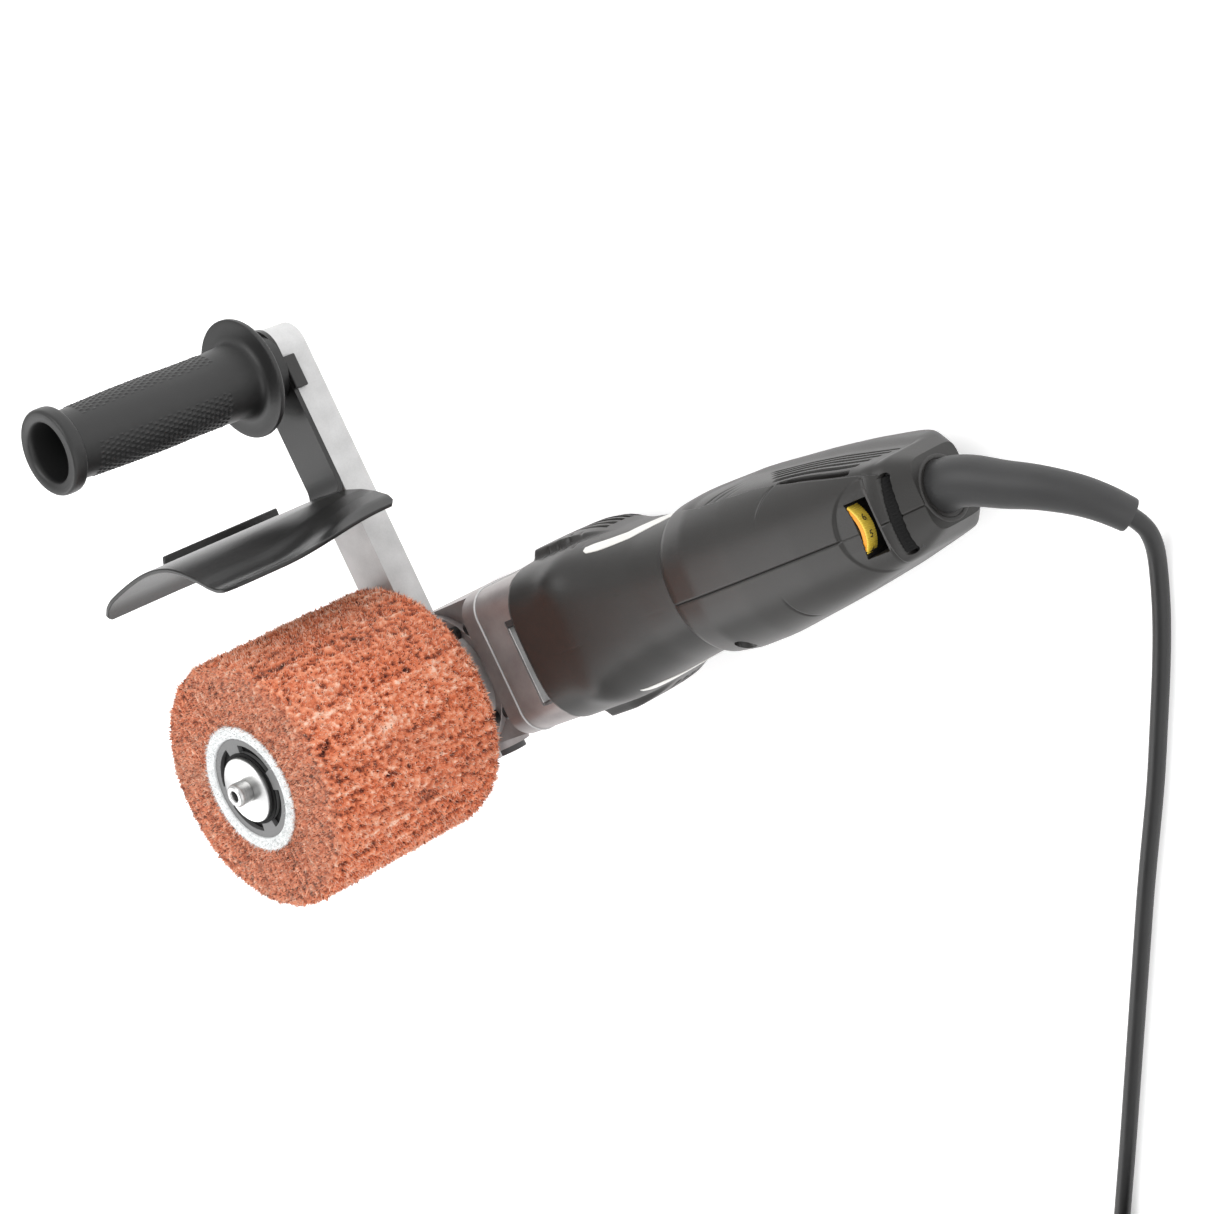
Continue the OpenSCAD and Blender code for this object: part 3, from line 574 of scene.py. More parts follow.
def cord_and_plug():
    points = np.concatenate([
        smoothed(CORD_POINTS, 2), coil_path(CORD_POINTS[-1], TAIL_POINTS[0]), smoothed(TAIL_POINTS, 2)])
    curve = bpy.data.curves.new("mains_cord", "CURVE")
    curve.dimensions = "3D"
    spline = curve.splines.new("NURBS")
    spline.points.add(len(points) - 1)
    for point, place in zip(spline.points, points):
        point.co = (*place, 1.0)
    spline.order_u = 4
    spline.use_endpoint_u = True
    spline.resolution_u = 3
    curve.bevel_depth = CORD_R
    curve.bevel_resolution = 5
    curve.use_fill_caps = True
    cord = new_object("mains_cord", curve)
    finish_piece(cord, "cord_rubber", replaces=("cord_run", "cord_coil", "cord_tail"))
    body = softened("plug_body", 1.6, segments=4)
    pins = softened("plug_pins", 0.5, segments=3)


SLEEVE_R = (0.0106, 0.0068)
SLEEVE_BORE = 0.0052
SLEEVE_SIDES = 40
TIP_EDGE = 0.0002


def swept_ring(name, centres, radii):
    """A closed tube along centres that turns back inside itself where radii shrink."""
    pts = np.array(centres, float)
    ahead = np.gradient(pts, axis=0)
    ahead /= np.linalg.norm(ahead, axis=1, keepdims=True)
    up = np.array([0.02, 0.03, 1.0])
    u = np.cross(ahead, up)
    u /= np.linalg.norm(u, axis=1, keepdims=True)
    v = np.cross(ahead, u)
    a = np.linspace(0, math.tau, SLEEVE_SIDES, endpoint=False)[None, :, None]
    ring = pts[:, None] + np.array(radii)[:, None, None] * (u[:, None] * np.cos(a) + v[:, None] * np.sin(a))
    return flip_inside_out(from_arrays(name, ring.reshape(-1, 3), tube_faces(len(pts), SLEEVE_SIDES)))


def make_sleeve():
    """The tapered rubber sleeve, with an open mouth that the cord comes out of."""
    line = smoothed(SLEEVE_POINTS, 6)
    way = np.concatenate([[0], np.cumsum(np.linalg.norm(np.diff(line, axis=0), axis=1))])
    radii = SLEEVE_R[0] + (SLEEVE_R[1] - SLEEVE_R[0]) * way / way[-1]
    start = line[0] - np.array([0.009, 0, 0])
    tip, ahead = line[-1], line[-1] - line[-2]
    ahead /= np.linalg.norm(ahead)
    centres = [start, *line] + [tip + ahead * step * TIP_EDGE for step in (3, 4, 2)]
    radii = [0.0079, *radii, SLEEVE_R[1] - TIP_EDGE, SLEEVE_BORE + 3 * TIP_EDGE, SLEEVE_BORE]
    outer = swept_ring("cable_sleeve_skin", centres, radii)
    finish_piece(outer, "sleeve_rubber", replaces=("cable_sleeve",))


cord_and_plug()
make_sleeve()


# ---- motor housing and rear shells -----------------------------------------
# Outlines as (distance along X, half size): half width, top, back and corner radius.
FRONT = {
    "width": [(75, 37), (112, 37), (126, 35), (142, 32.6), (158, 31.4), (170, 31)],
    "top": [(75, 39.5), (108, 38), (130, 34.5), (150, 32), (170, 31)],
    "back": [(75, 37), (80, 38), (115, 38), (135, 34), (152, 32), (170, 31)],
    "corner": [(75, 44.5), (108, 43.5), (130, 37.5), (150, 33.4), (170, 31.4)]}
REAR = {
    "width": [(169, 31.4), (173, 34), (190, 34.8), (207, 34.2), (227, 31.8), (247, 29.5), (266, 26.7),
              (284, 23.2), (298, 20.4), (306.5, 15)],
    "top": [(169, 31.4), (174, 34.5), (190, 36.5), (215, 36.5), (250, 34.2), (294, 30), (306.5, 16)],
    "back": [(169, 31.4), (174, 34), (190, 35), (215, 35), (250, 31.5), (285, 26), (306.5, 14)],
    "corner": [(169, 31.6), (174, 35.5), (190, 38), (215, 38), (250, 36), (294, 32.5), (306.5, 19)]}
SPLIT_Y = -3.0
SHELL_X = 169.0
REAR_X = 306.5
CORNER_POWER = 18


def outline_at(table, key, x, blur):
    """The outline's half size at x, averaged over a short length."""
    xs, hs = np.array(table[key], float).T
    shifts = np.linspace(-blur, blur, 7)
    low, high = xs[0], xs[-1]
    room = np.minimum(np.minimum(x - low, high - x), blur)[..., None] / max(blur, 1e-9)
    return np.interp(x[..., None] + shifts * np.maximum(room, 0), xs, hs).mean(-1)


def skin_points(table, x, angle, blur=3.0):
    """Points of the rounded housing at distances x and angles from +Y towards +Z."""
    width = outline_at(table, "width", x, blur)
    top = outline_at(table, "top", x, blur)
    back = outline_at(table, "back", x, blur)
    corner = outline_at(table, "corner", x, blur)
    y, z = np.cos(angle), np.sin(angle)
    upright = np.where(z > 0, top, back)
    p = CORNER_POWER
    size = (np.abs(y / width) ** p + np.abs(z / upright) ** p + (1 / corner) ** p) ** (-1 / p)
    return np.stack([x + 0 * angle, y * size, z * size], -1)


def grid_normals(points):
    """Outward unit normals of a grid whose rows go along X and columns round it."""
    along = np.gradient(points, axis=0)
    around = np.gradient(points, axis=1)
    out = np.cross(around, along)
    out /= np.maximum(np.linalg.norm(out, axis=-1, keepdims=True), 1e-9)
    centre = points.copy()
    centre[..., 0] = 0
    return np.where((out * centre).sum(-1, keepdims=True) < 0, -out, out)


def moved_in(points, depth):
    """A grid with each point moved inwards along its normal by its own depth."""
    return points - grid_normals(points) * depth[..., None]


def distance_to_line(points, line):
    """Shortest distance from each grid point to a polyline."""
    best = np.full(points.shape[:-1], 1e9)
    for a, b in zip(np.array(line[:-1], float), np.array(line[1:], float)):
        edge = b - a
        t = np.clip(((points - a) @ edge) / (edge @ edge), 0, 1)
        best = np.minimum(best, np.linalg.norm(points - (a + t[..., None] * edge), axis=-1))
    return best


def engrave(points, line, width, depth):
    """Sinks a rounded groove, or raises a bead where depth is negative."""
    d = distance_to_line(points, smoothed(line, 6))
    return moved_in(points, depth * np.exp(-(d / width) ** 2))


def sink_to(points, mask, floor_z):
    """Lowers the points inside a mask from 0 to 1 to floor_z, straight down."""
    out = points.copy()
    lower = np.minimum(out[..., 2], floor_z)
    out[..., 2] += (lower - out[..., 2]) * mask
    return out


CHEEK_X = (78.0, 128.0)
CHEEK_Z = (-26.0, 4.0)
CHEEK_RISE = 4.2
BULGE_RISE = 1.5


def make_housing():
    rows = np.linspace(75, 170, 190)
    angles = np.linspace(0, math.tau, 420, endpoint=False)
    x, a = np.meshgrid(rows, angles, indexing="ij")
    points = skin_points(FRONT, x, a)
    y, z = points[..., 1], points[..., 2]
    # vent cheeks, which taper away at the rear
    fall = smooth_step((CHEEK_X[1] - x) / 34)
    lift = CHEEK_RISE * fall * smooth_step((x - CHEEK_X[0]) / 2.5 + 0.5)
    lift = lift * inside_box(z, CHEEK_Z[0], CHEEK_Z[1] + 9 * fall, 3.0) * smooth_step((np.abs(y) - 24) / 6)
    points[..., 1] += np.sign(y) * lift
    # screw-boss bulges at the front corners
    for bulge_y in (26, -28):
        d = np.linalg.norm(points - np.array([104, bulge_y, 33.5]), axis=-1)
        points = moved_in(points, -BULGE_RISE * np.exp(-(d / 8.5) ** 2))
    # vents in the cheeks
    for low in range(-22, 0, 5):
        for side in (-1, 1):
            groove = inside_box(points[..., 2], low, low + 2.2, 0.8) * inside_box(x, 90, 116, 1.5)
            groove = groove * (points[..., 1] * side > 20)
            points[..., 1] -= side * 3.0 * groove
    # ribs over the front of the handle-side cheek
    for at in range(86, 128, 7):
        points = engrave(points, [(at, 40.5, 6), (at + 3, 38.4, 12), (at + 5, 35.6, 19)], 0.9, 0.7)
    mould_line = [(90, SPLIT_Y - 1, 39), (120, SPLIT_Y - 1, 37), (150, SPLIT_Y, 32), (169, SPLIT_Y, 31)]
    points = engrave(points, mould_line, 0.5, 0.18)
    points = moved_in(points, 0.9 * smooth_step((77.0 - x) / 2.0))
    obj = closed_piece("motor_housing_skin", points, tube_faces(*x.shape))
    finish_piece(obj, "housing_plastic", replaces=("motor_housing",))


VENT_BORDER = [(184, 30.5), (191, 33.5), (198, 36), (213, 38), (234, 38.5), (245, 41), (260, 46), (278, 52),
               (294, 57)]
DISH = (292.0, -3.0)
DISH_R = 19.5
DISH_EDGE_X = 293.4
DISH_FLOOR = ((271, 282.5, 292), (30.8, 29.8, 28.2))
DIAL_GAP_X = (282.8, 291.6)
DIAL_GAP_Y = (-13.2, 9.3)
DIAL_GAP_FLOOR = 16.0
DUST_SLOT_X = 298.4
DUST_SLOT_Y = (-16.4, 12.9)
DUST_SLOT_LEAN = 0.056
DUST_SLOT_FLOOR = 15.5
SCREW_AT = (191, 23.3)
SCREW_FLOOR = -19
UPPER_ARC = [(246, 27, 24), (244.4, 26.4, 24.9), (241, 24.3, 27.2), (237.8, 20.8, 30.2), (235.8, 16.8, 32.8),
             (234.1, 11.2, 35.2), (233.3, 5, 35.4)]
LOWER_ARC = [(233, -4.7, 35.3), (233, -9.3, 35.3), (232.4, -15.4, 33.7), (232.4, -21.7, 29.9),
             (234.9, -27.1, 25), (239.9, -29.4, 21.7), (247, -29.2, 20.5), (262, -27.2, 17), (280, -24, 13)]


def shell_points(side):
    """Grid of one rear shell: side 1 is the handle side, -1 the other."""
    rows = np.concatenate([np.linspace(SHELL_X, 290, 300), np.linspace(290.4, REAR_X, 76)])
    fine = np.array([0, 0.003, 0.007, 0.012])
    steps = np.concatenate([fine, np.linspace(0.016, 0.62, 290), np.linspace(0.63, 0.98, 46), 1 - fine[::-1]])
    x, part = np.meshgrid(rows, steps, indexing="ij")
    tops = skin_points(REAR, rows, np.full(len(rows), math.pi / 2))[:, 2]
    backs = -skin_points(REAR, rows, np.full(len(rows), -math.pi / 2))[:, 2]
    first = np.pi / 2 - np.arcsin(SPLIT_Y / tops)
    last = -np.pi / 2 + np.arcsin(SPLIT_Y / backs)
    if side < 0:
        last = last + math.tau
    angle = first[:, None] + (last - first)[:, None] * part
    return x, angle, skin_points(REAR, x, angle, 2.2)


def vented(points, x, angle):
    """The handle-side shell's sunk vent field, long vents, slanting ribs and arc."""
    xs, border = np.array(VENT_BORDER, float).T
    edge = np.radians(np.interp(x, xs, border))
    around = np.where(angle > np.pi, angle - math.tau, angle)
    past = smooth_step((edge - around) * 35 / 0.8 + 0.5)
    reach = smooth_step((x - 184) / 10) * smooth_step((300 - x) / 4) * smooth_step((around + 0.5) / 0.4)
    points = moved_in(points, 1.3 * past * reach)
    for k in range(6):
        at = np.radians(40 - 7.5 * k)
        drift = np.radians(10) * smooth_step((x - 250) / 40)
        gap = np.abs(around - at - drift * (1 - k / 7)) * 33
        length = inside_box(x, 246 - 4 * k, 285 + 1.8 * k, 2.0)
        points = moved_in(points, 2.6 * smooth_step((1.1 - gap) / 0.9 + 0.5) * length)
    for at in range(200, 242, 7):
        points = engrave(points, [(at, 30.4, 22), (at + 9, 32.4, 13), (at + 16, 33.4, 4)], 0.8, 0.6)
    return engrave(points, UPPER_ARC, 0.45, 0.45)


def shell_features(points, x, angle, side):
    # the seam: each shell's edge turns in
    away = np.abs(points[..., 1] - SPLIT_Y)
    points = moved_in(points, 0.55 * np.exp(-(away / 0.32) ** 2))
    if side > 0:
        points = vented(points, x, angle)
    else:
        points = engrave(points, LOWER_ARC, 0.45, 0.5)
        # screw recess
        d = np.hypot(points[..., 0] - SCREW_AT[0], points[..., 2] - SCREW_AT[1])
        hole = smooth_step((3.7 - d) / 0.5 + 0.5) * (points[..., 1] < -10)
        points[..., 1] += hole * (SCREW_FLOOR - points[..., 1])
    # dish round the dial, the dial's window and the dust slot
    px, py, pz = points[..., 0], points[..., 1], points[..., 2]
    upper = pz > 5
    d = np.hypot(px - DISH[0], py - DISH[1])
    dish = smooth_step((DISH_R - d) / 1.6 + 0.5) * smooth_step((DISH_EDGE_X - px) / 0.7 + 0.5) * upper
    points = sink_to(points, dish, np.minimum(pz - 0.5, np.interp(px, *DISH_FLOOR)))
    bowed = px + 0.012 * (py + 1) ** 2
    window = inside_box(bowed, DIAL_GAP_X[0], 299, 0.35) * inside_box(px, 270, DIAL_GAP_X[1], 0.35)
    window = window * inside_box(py, *DIAL_GAP_Y, 0.35) * upper
    points = sink_to(points, window, DIAL_GAP_FLOOR)
    slot_x = DUST_SLOT_X + (py + 1.7) * DUST_SLOT_LEAN
    d = np.hypot(px - slot_x, py - np.clip(py, *DUST_SLOT_Y))
    slot = smooth_step((1.55 - d) / 0.5 + 0.5) * upper
    return sink_to(points, slot, DUST_SLOT_FLOOR)


def make_shell(name, side, node):
    x, angle, points = shell_points(side)
    points = shell_features(points, x, angle, side)
    obj = closed_piece(name, points, tube_faces(*x.shape))
    finish_piece(obj, "housing_plastic", replaces=(node,), angle=50)


SLEEVE_ROOT = (0, -0.6, 1.6)


def rear_collar():
    """The raised rim round the sleeve's root."""
    outline = rounded([(10.9, REAR_X - 6), (16.5, REAR_X - 6), (14.4, REAR_X - 1), (13.4, REAR_X + 0.4),
                       (11.6, REAR_X + 0.4), (10.9, REAR_X - 2)], 1.6, 4)
    finish_piece(lathe("rear_collar", outline, SLEEVE_ROOT, axis="X"), "housing_plastic")


def dust_pleats():
    """Black pleated mesh just under the lips of the dust slot."""
    y = np.linspace(-16.6, 13.2, 300)[:, None]
    across = np.linspace(-1.5, 1.5, 9)
    x = DUST_SLOT_X + (y + 1.7) * DUST_SLOT_LEAN + across
    z = 25.2 - (x - 297.6) * 1.25 - 0.012 * (y + 2) ** 2 + 0.35 * np.sin(y * 4.1) * np.cos(across * 1.4)
    top = np.stack([x, y + 0 * x, z], -1)
    finish_piece(slab("dust_pleats", top, top - np.array([0, 0, 1.6])), "carbon")


make_housing()
dust_pleats()
make_shell("rear_shell_upper_skin", 1, "rear_shell_upper")
make_shell("rear_shell_lower_skin", -1, "rear_shell_lower")
rear_collar()


# ---- abrasive drum ---------------------------------------------------------
DRUM_R = 57.5
CORE_R = 28.6
HUB_R = 23.4
DRUM_LOW, DRUM_HIGH = 51.0, 149.0
DRUM_EDGE = 5.0
CHANCE = np.random.default_rng(7)


def patchy(shape, along, around):
    """Smooth random field of unit spread, with its own patch size each way."""
    field = np.fft.fft2(CHANCE.standard_normal(shape))
    f_i = np.fft.fftfreq(shape[0])[:, None]
    f_j = np.fft.fftfreq(shape[1])[None, :]
    field = np.fft.ifft2(field * np.exp(-2 * math.pi ** 2 * ((along * f_i) ** 2 + (around * f_j) ** 2))).real
    return field / field.std()


def drum_profile(step):
    """Radius, height and outward direction along the drum's section."""
    corner = np.linspace(0, math.pi / 2, 12)
    ends = np.arange(CORE_R, DRUM_R - DRUM_EDGE, step)
    side = np.arange(DRUM_LOW + DRUM_EDGE, DRUM_HIGH - DRUM_EDGE, step)
    r = np.concatenate([ends, DRUM_R - DRUM_EDGE + DRUM_EDGE * np.sin(corner), np.full(len(side), DRUM_R),
                        DRUM_R - DRUM_EDGE + DRUM_EDGE * np.cos(corner), ends[::-1]])
    z = np.concatenate([np.full(len(ends), DRUM_LOW), DRUM_LOW + DRUM_EDGE * (1 - np.cos(corner)), side,
                        DRUM_HIGH - DRUM_EDGE * (1 - np.sin(corner)), np.full(len(ends), DRUM_HIGH)])
    turn = np.concatenate([np.full(len(ends), -math.pi / 2), corner - math.pi / 2, np.zeros(len(side)), corner,
                           np.full(len(ends), math.pi / 2)])
    return r, z, turn


FIBRE_FACES = ((0, 1, 3), (1, 2, 3), (2, 0, 3), (2, 1, 0))


def fibres(feet, outward, count, length, width, lean):
    """Small closed three-sided spikes standing on random surface points."""
    pick = CHANCE.integers(0, len(feet), count)
    foot, out = feet[pick], outward[pick]
    aim = out + lean * CHANCE.standard_normal((count, 3))
    aim = np.where((aim * out).sum(-1, keepdims=True) < 0.1, out, aim)
    aim /= np.linalg.norm(aim, axis=-1, keepdims=True)
    side = np.cross(aim, CHANCE.standard_normal((count, 3)))
    side /= np.linalg.norm(side, axis=-1, keepdims=True)
    third = np.cross(aim, side)
    reach = CHANCE.uniform(*length, (count, 1))
    wide = CHANCE.uniform(*width, (count, 1))
    corners = [foot - 0.5 * out + wide * (math.cos(a) * side + math.sin(a) * third) for a in (0, 2.1, 4.2)]
    verts = np.stack(corners + [foot + aim * reach], 1).reshape(-1, 3)
    base = 4 * np.arange(count)[:, None]
    faces = np.concatenate([base + face for face in FIBRE_FACES])
    return verts, faces, pick


def set_attribute(obj, name, values):
    layer = obj.data.attributes.new(name, "FLOAT", "POINT")
    layer.data.foreach_set("value", np.asarray(values, np.float32))


DRUM_STEP = 0.75
DRUM_COLUMNS = 500
FIBRE_COUNT = 60000
TUFT_COUNT = 2600
TUFT_PLACES = 4000


def make_drum():
    r, z, turn = drum_profile(DRUM_STEP)
    angle = np.linspace(0, math.tau, DRUM_COLUMNS, endpoint=False)
    shape = (len(r), DRUM_COLUMNS)
    streaks = patchy(shape, 5.0, 0.9)
    specks = patchy(shape, 0.8, 0.7)
    broad = patchy(shape, 22.0, 9.0)
    flaps = patchy(shape, 26.0, 1.5)
    on_side = np.cos(turn)[:, None] ** 2
    relief = (0.30 * streaks + 0.46 * flaps) * on_side + specks * (1.0 - 0.15 * on_side) + 0.12 * broad
    height = np.clip(0.53 + 0.18 * relief, 0, 1)
    push = (height - 0.62) * (0.9 + 1.7 * on_side)
    out_r, out_z = np.cos(turn)[:, None], np.sin(turn)[:, None]
    outer = turned(r[:, None] + push * out_r, angle, z[:, None] + push * out_z).reshape(-1, 3)
    outward = turned(out_r, angle, out_z).reshape(-1, 3)
    spikes, spike_faces, pick = fibres(outer, outward, FIBRE_COUNT, (0.6, 2.3), (0.16, 0.44), 0.95)
    faces = quads(*shape, wrap_cols=True, wrap_rows=True) + (spike_faces + len(outer)).tolist()
    obj = from_arrays("abrasive_fleece", here(np.concatenate([outer, spikes])), faces)
    height = height.reshape(-1)
    # Painted shade: a high amount on the drum's end faces and a low one on its side, with broad noise adding
    # random tone.
    painted_end_shade = np.clip(0.62 - 0.55 * on_side + 0.10 * broad, 0, 1).reshape(-1)
    # Painted shade at each fibre's foot and painted light at its tip.
    tips = np.tile([-0.06, -0.06, -0.06, 0.2], FIBRE_COUNT)
    shade = np.repeat(CHANCE.normal(0.07, 0.38, FIBRE_COUNT), 4)
    pick = np.repeat(pick, 4)
    set_attribute(obj, "height", np.concatenate([height, np.clip(height[pick] + tips + shade, 0, 1)]))
    set_attribute(obj, "end_face_shade", np.concatenate([painted_end_shade, painted_end_shade[pick]]))
    finish_piece(obj, "red_fleece", "drum", ("abrasive_drum",), angle=80)


def make_core_ring():
    outline = rounded([(HUB_R, DRUM_LOW), (CORE_R + 0.6, DRUM_LOW), (CORE_R + 0.6, DRUM_HIGH + 0.9),
                       (HUB_R + 0.4, DRUM_HIGH + 0.9), (HUB_R, DRUM_HIGH)], 0.8, 3)
    ring = lathe("core_felt", outline, turns=160)
    angle = CHANCE.uniform(0, math.tau, TUFT_PLACES)
    radius = CHANCE.uniform(HUB_R + 0.6, CORE_R + 1.1, TUFT_PLACES)
    feet = turned(radius, angle, DRUM_HIGH + 0.8)
    lift = turned(0.8, angle, 0.8)
    verts, faces, _ = fibres(feet, lift, TUFT_COUNT, (0.5, 1.7), (0.10, 0.26), 0.9)
    tufts = from_arrays("core_tufts", here(verts), faces.tolist())
    finish_piece(ring, "white_felt", "drum", ("core_ring",))
    finish_piece(tufts, "white_felt", "drum", angle=80)


BOLT_TOP = DRUM_HIGH + 9.4
WASHER_TURNS = 128


def make_washer():
    washer = rounded([(4.4, DRUM_HIGH), (15, DRUM_HIGH), (15, DRUM_HIGH + 2.6), (4.4, DRUM_HIGH + 2.6)], 0.5)
    disc = lathe("washer_turned", washer, turns=WASHER_TURNS)
    # Painted highlight and shade: two light and two dark fans round the washer.
    around = np.tile(np.linspace(0, 2 * math.tau, WASHER_TURNS, endpoint=False), len(washer))
    set_attribute(disc, "sweep", 0.55 + 0.45 * np.cos(around - 2.4))
    finish_piece(disc, "bright_steel", "drum", ("drum_washer",), FACED_STEEL)
    boss = [(0.01, BOLT_TOP - 4.5), (2.3, BOLT_TOP - 4.0), (2.4, BOLT_TOP - 1.0)]
    boss += rounded([(2.5, BOLT_TOP), (4.6, BOLT_TOP), (5.3, BOLT_TOP - 1.2), (5.3, DRUM_HIGH + 2.4),
                     (3.8, DRUM_HIGH + 2.0), (3.8, DRUM_HIGH - 20)], 0.5, 3)[1:]
    boss.append((0.01, DRUM_HIGH - 20))
    finish_piece(lathe("bolt_turned", boss), "bright_steel", "drum", ("drum_bolt",))


# Painted shade: black rings as (name, turns, outline), put where hollows and gaps fall in shade.
SHADE_RINGS = (
    ("bolt_hollow_shade", 48, [(0.01, BOLT_TOP - 4.45), (2.2, BOLT_TOP - 3.95), (2.2, BOLT_TOP - 3.6),
                         (0.01, BOLT_TOP - 4.0)]),
    ("hub_step_shade", 96, [(14.6, DRUM_HIGH - 0.5), (16.7, DRUM_HIGH - 0.5), (16.7, DRUM_HIGH + 0.12),
                      (14.6, DRUM_HIGH + 0.12)]),
    ("hub_slot_shade", 96, [(16.4, DRUM_HIGH - 3), (20.4, DRUM_HIGH - 3), (20.4, DRUM_HIGH - 2.2),
                       (16.4, DRUM_HIGH - 2.2)]))


def dark_rings():
    """Black rings painted as shade in the bolt's hollow, round the washer and at the bottom of the hub's
    slots.
    """
    for name, turns, outline in SHADE_RINGS:
        finish_piece(lathe(name, outline, turns=turns), "carbon", "drum")


make_drum()
make_core_ring()
make_washer()
dark_rings()
softened("drum_hub", 0.5, "drum", HUB_PLASTIC)


# ---- bracket, guard and handle ---------------------------------------------
BAR_HALF = 12.5
HANDLE_Y = 167.5
LEG_Z = 43.0
GUARD_T = 2.5
TAB_T = 2.4
NEAR_LINE = [(46.5, 82.8), (36.5, 83.7), (31, 86.5), (25, 91.8), (16, 98.6), (8, 102.4), (-3, 104.4),
             (-15, 104.0), (-30, 101.6), (-38, 99.0), (-46, 94.2)]
FAR_LINE = [(-46, 93.4), (-15, 103.6), (-3, 104.4), (13, 102.4), (25, 99.2), (34, 95.6), (42, 91.2),
            (46.5, 86.8)]
GUARD_INNER = [(-46, 48), (-43, 44.4), (24, 44), (41, 44), (44.5, 44.8), (46.5, 48)]
GUARD_OUTER = [(-46, 148.5), (-44, 151.5), (-39, 152.5), (-34, 152.3), (0, 147), (38, 142.6), (44, 139),
               (46.5, 133)]
LEG_LINE = [(101.6, 62), (101.4, 56), (101.8, 50.5), (104, 47), (108, 45.6), (114, 45.5), (140, 45.5),
            (160, 45.5)]


def guard_sheet(name, upper, thickness, wide, replaces=()):
    """A bent sheet of the guard: a grid of points, thickened away from wide."""
    rows, cols = upper.shape[:2]
    out = np.cross(np.gradient(upper, axis=0), np.gradient(upper, axis=1))
    out /= np.linalg.norm(out, axis=-1, keepdims=True)
    out *= np.sign((out[rows // 2, cols // 2] * np.array(wide)).sum())
    sheet = bevelled(slab(name, upper, upper - out * thickness), 0.7, 3, 50)
    finish_piece(sheet, "black_coating", replaces=replaces, angle=40)


def dense(line, steps):
    return np.array(smoothed([(*p, 0.0) for p in line], steps))[:, :2]


def make_guard():
    across = dense(NEAR_LINE, 8)[::-1]
    x, near = across[:, 0], across[:, 1]
    inner = np.interp(x, *np.array(GUARD_INNER).T)
    outer = np.interp(x, *np.array(GUARD_OUTER).T)
    z = inner + (outer - inner) * np.linspace(0, 1, 60)[:, None]
    far = np.interp(x, *np.array(FAR_LINE).T)
    flare = 1 - smooth_step((z - 52) / 62)
    grid = np.stack([x + 0 * z, near + (far - near) * flare, z], -1)
    guard_sheet("guard_shield", grid, 2.0, (0, 1, 0), ("guard",))
    # the leg bends out of the shield's edge and runs up the bar to its round end
    path = dense(LEG_LINE, 6)
    end_y = HANDLE_Y + 6
    tip = [(y, LEG_Z + GUARD_T) for y in end_y + BAR_HALF * np.sin(np.linspace(-0.7, math.pi / 2, 14))]
    y, z = np.concatenate([path, tip]).T[..., None]
    past = np.clip((y - end_y) / BAR_HALF, 0, 0.995)
    side = np.linspace(-1, 1, 13)
    leg = np.stack(np.broadcast_arrays(side * BAR_HALF * np.sqrt(1 - past ** 2), y, z), -1)
    guard_sheet("guard_leg", np.swapaxes(leg, 0, 1), GUARD_T, (0, 0, 1))
    y, z = np.meshgrid(np.linspace(152.8, 168.6, 7), np.linspace(38, 45.3, 5), indexing="ij")
    guard_sheet("guard_tab", np.stack([BAR_HALF + TAB_T + 0 * y, y, z], -1), TAB_T, (1, 0, 0))
    # the far edge's lip
    t = np.linspace(0, 1, 9)[:, None]
    s = np.linspace(0, 1, 24)
    lip = [-44.6 + 0.9 * t, 94.2 + 15.5 * t, 44.5 + (73 - 5.5 * t) * s]
    guard_sheet("guard_lip", np.stack(np.broadcast_arrays(*lip), -1), 2.2, (-1, 0, 0))


GRIP_LOW = 58.0
BARREL = (74, 156)
DOTS_ROUND = 40
DOT_BANDS = ((0.63, 2.83), (3.46, 5.97))
DOT_PITCH = 2.6
DOT_RISE = 0.42
GRIP_OUTLINE = [(28, 60.3), (27.4, 61.0), (22.5, 61.2), (20.0, 61.6), (18.2, 63.0), (17.5, 66), (17.0, 74),
                (16.6, 82), (16.5, 96), (16.7, 110), (16.5, 128), (16.1, 142), (15.8, 152), (15.7, 158.5),
                (15.9, 160.4), (17.2, 161.2), (18.9, 161.6), (19.5, 162.6), (19.6, 165), (19.4, 167.3),
                (18.6, 168.4), (17.6, 168.5)]
GRIP_FOOT = [(0.01, GRIP_LOW), (26.6, GRIP_LOW), (27.7, GRIP_LOW + 0.5), (28, GRIP_LOW + 1.3)]
GRIP_BORE = [(14.6, 168.4), (13.6, 167.4), (13.5, 165), (13.4, 130), (13, 101), (12, 100), (0.01, 100)]


def make_grip():
    outline = dense(GRIP_OUTLINE, 5)
    low, high = BARREL
    before = outline[outline[:, 1] <= low]
    after = outline[outline[:, 1] >= high]
    barrel = outline[(outline[:, 1] > low) & (outline[:, 1] < high)]
    z = np.arange(barrel[0, 1], barrel[-1, 1], 0.45)
    barrel = np.stack([np.interp(z, barrel[:, 1], barrel[:, 0]), z], -1)
    r, h = np.concatenate([GRIP_FOOT, before, barrel, after, GRIP_BORE]).T[..., None]
    angle = np.linspace(0, math.tau, 288, endpoint=False)
    dots = np.cos(DOTS_ROUND * angle) * np.cos(math.pi * h / DOT_PITCH)
    band = sum(inside_box((angle - start) % math.tau, 0, end - start, 0.04) for start, end in DOT_BANDS)
    dotted = inside_box(h, 79, 152, 1.0) * band * (r > 15) * (h > low) * (h < high)
    radius = r + DOT_RISE * smooth_step((dots - 0.12) / 0.75) * dotted
    points = turned(radius, angle, h, (0, HANDLE_Y))
    obj = closed_piece("grip_moulded", points, quads(len(r), len(angle), True, True))
    finish_piece(obj, "grip_rubber", replaces=("handle_grip",), angle=45)


make_guard()
make_grip()
softened("handle_bar", 0.9, material=SILVER_PAINT)
softened("handle_collar", 0.6)
softened("gear_case", 1.2)
softened("bearing_cover", 0.8)


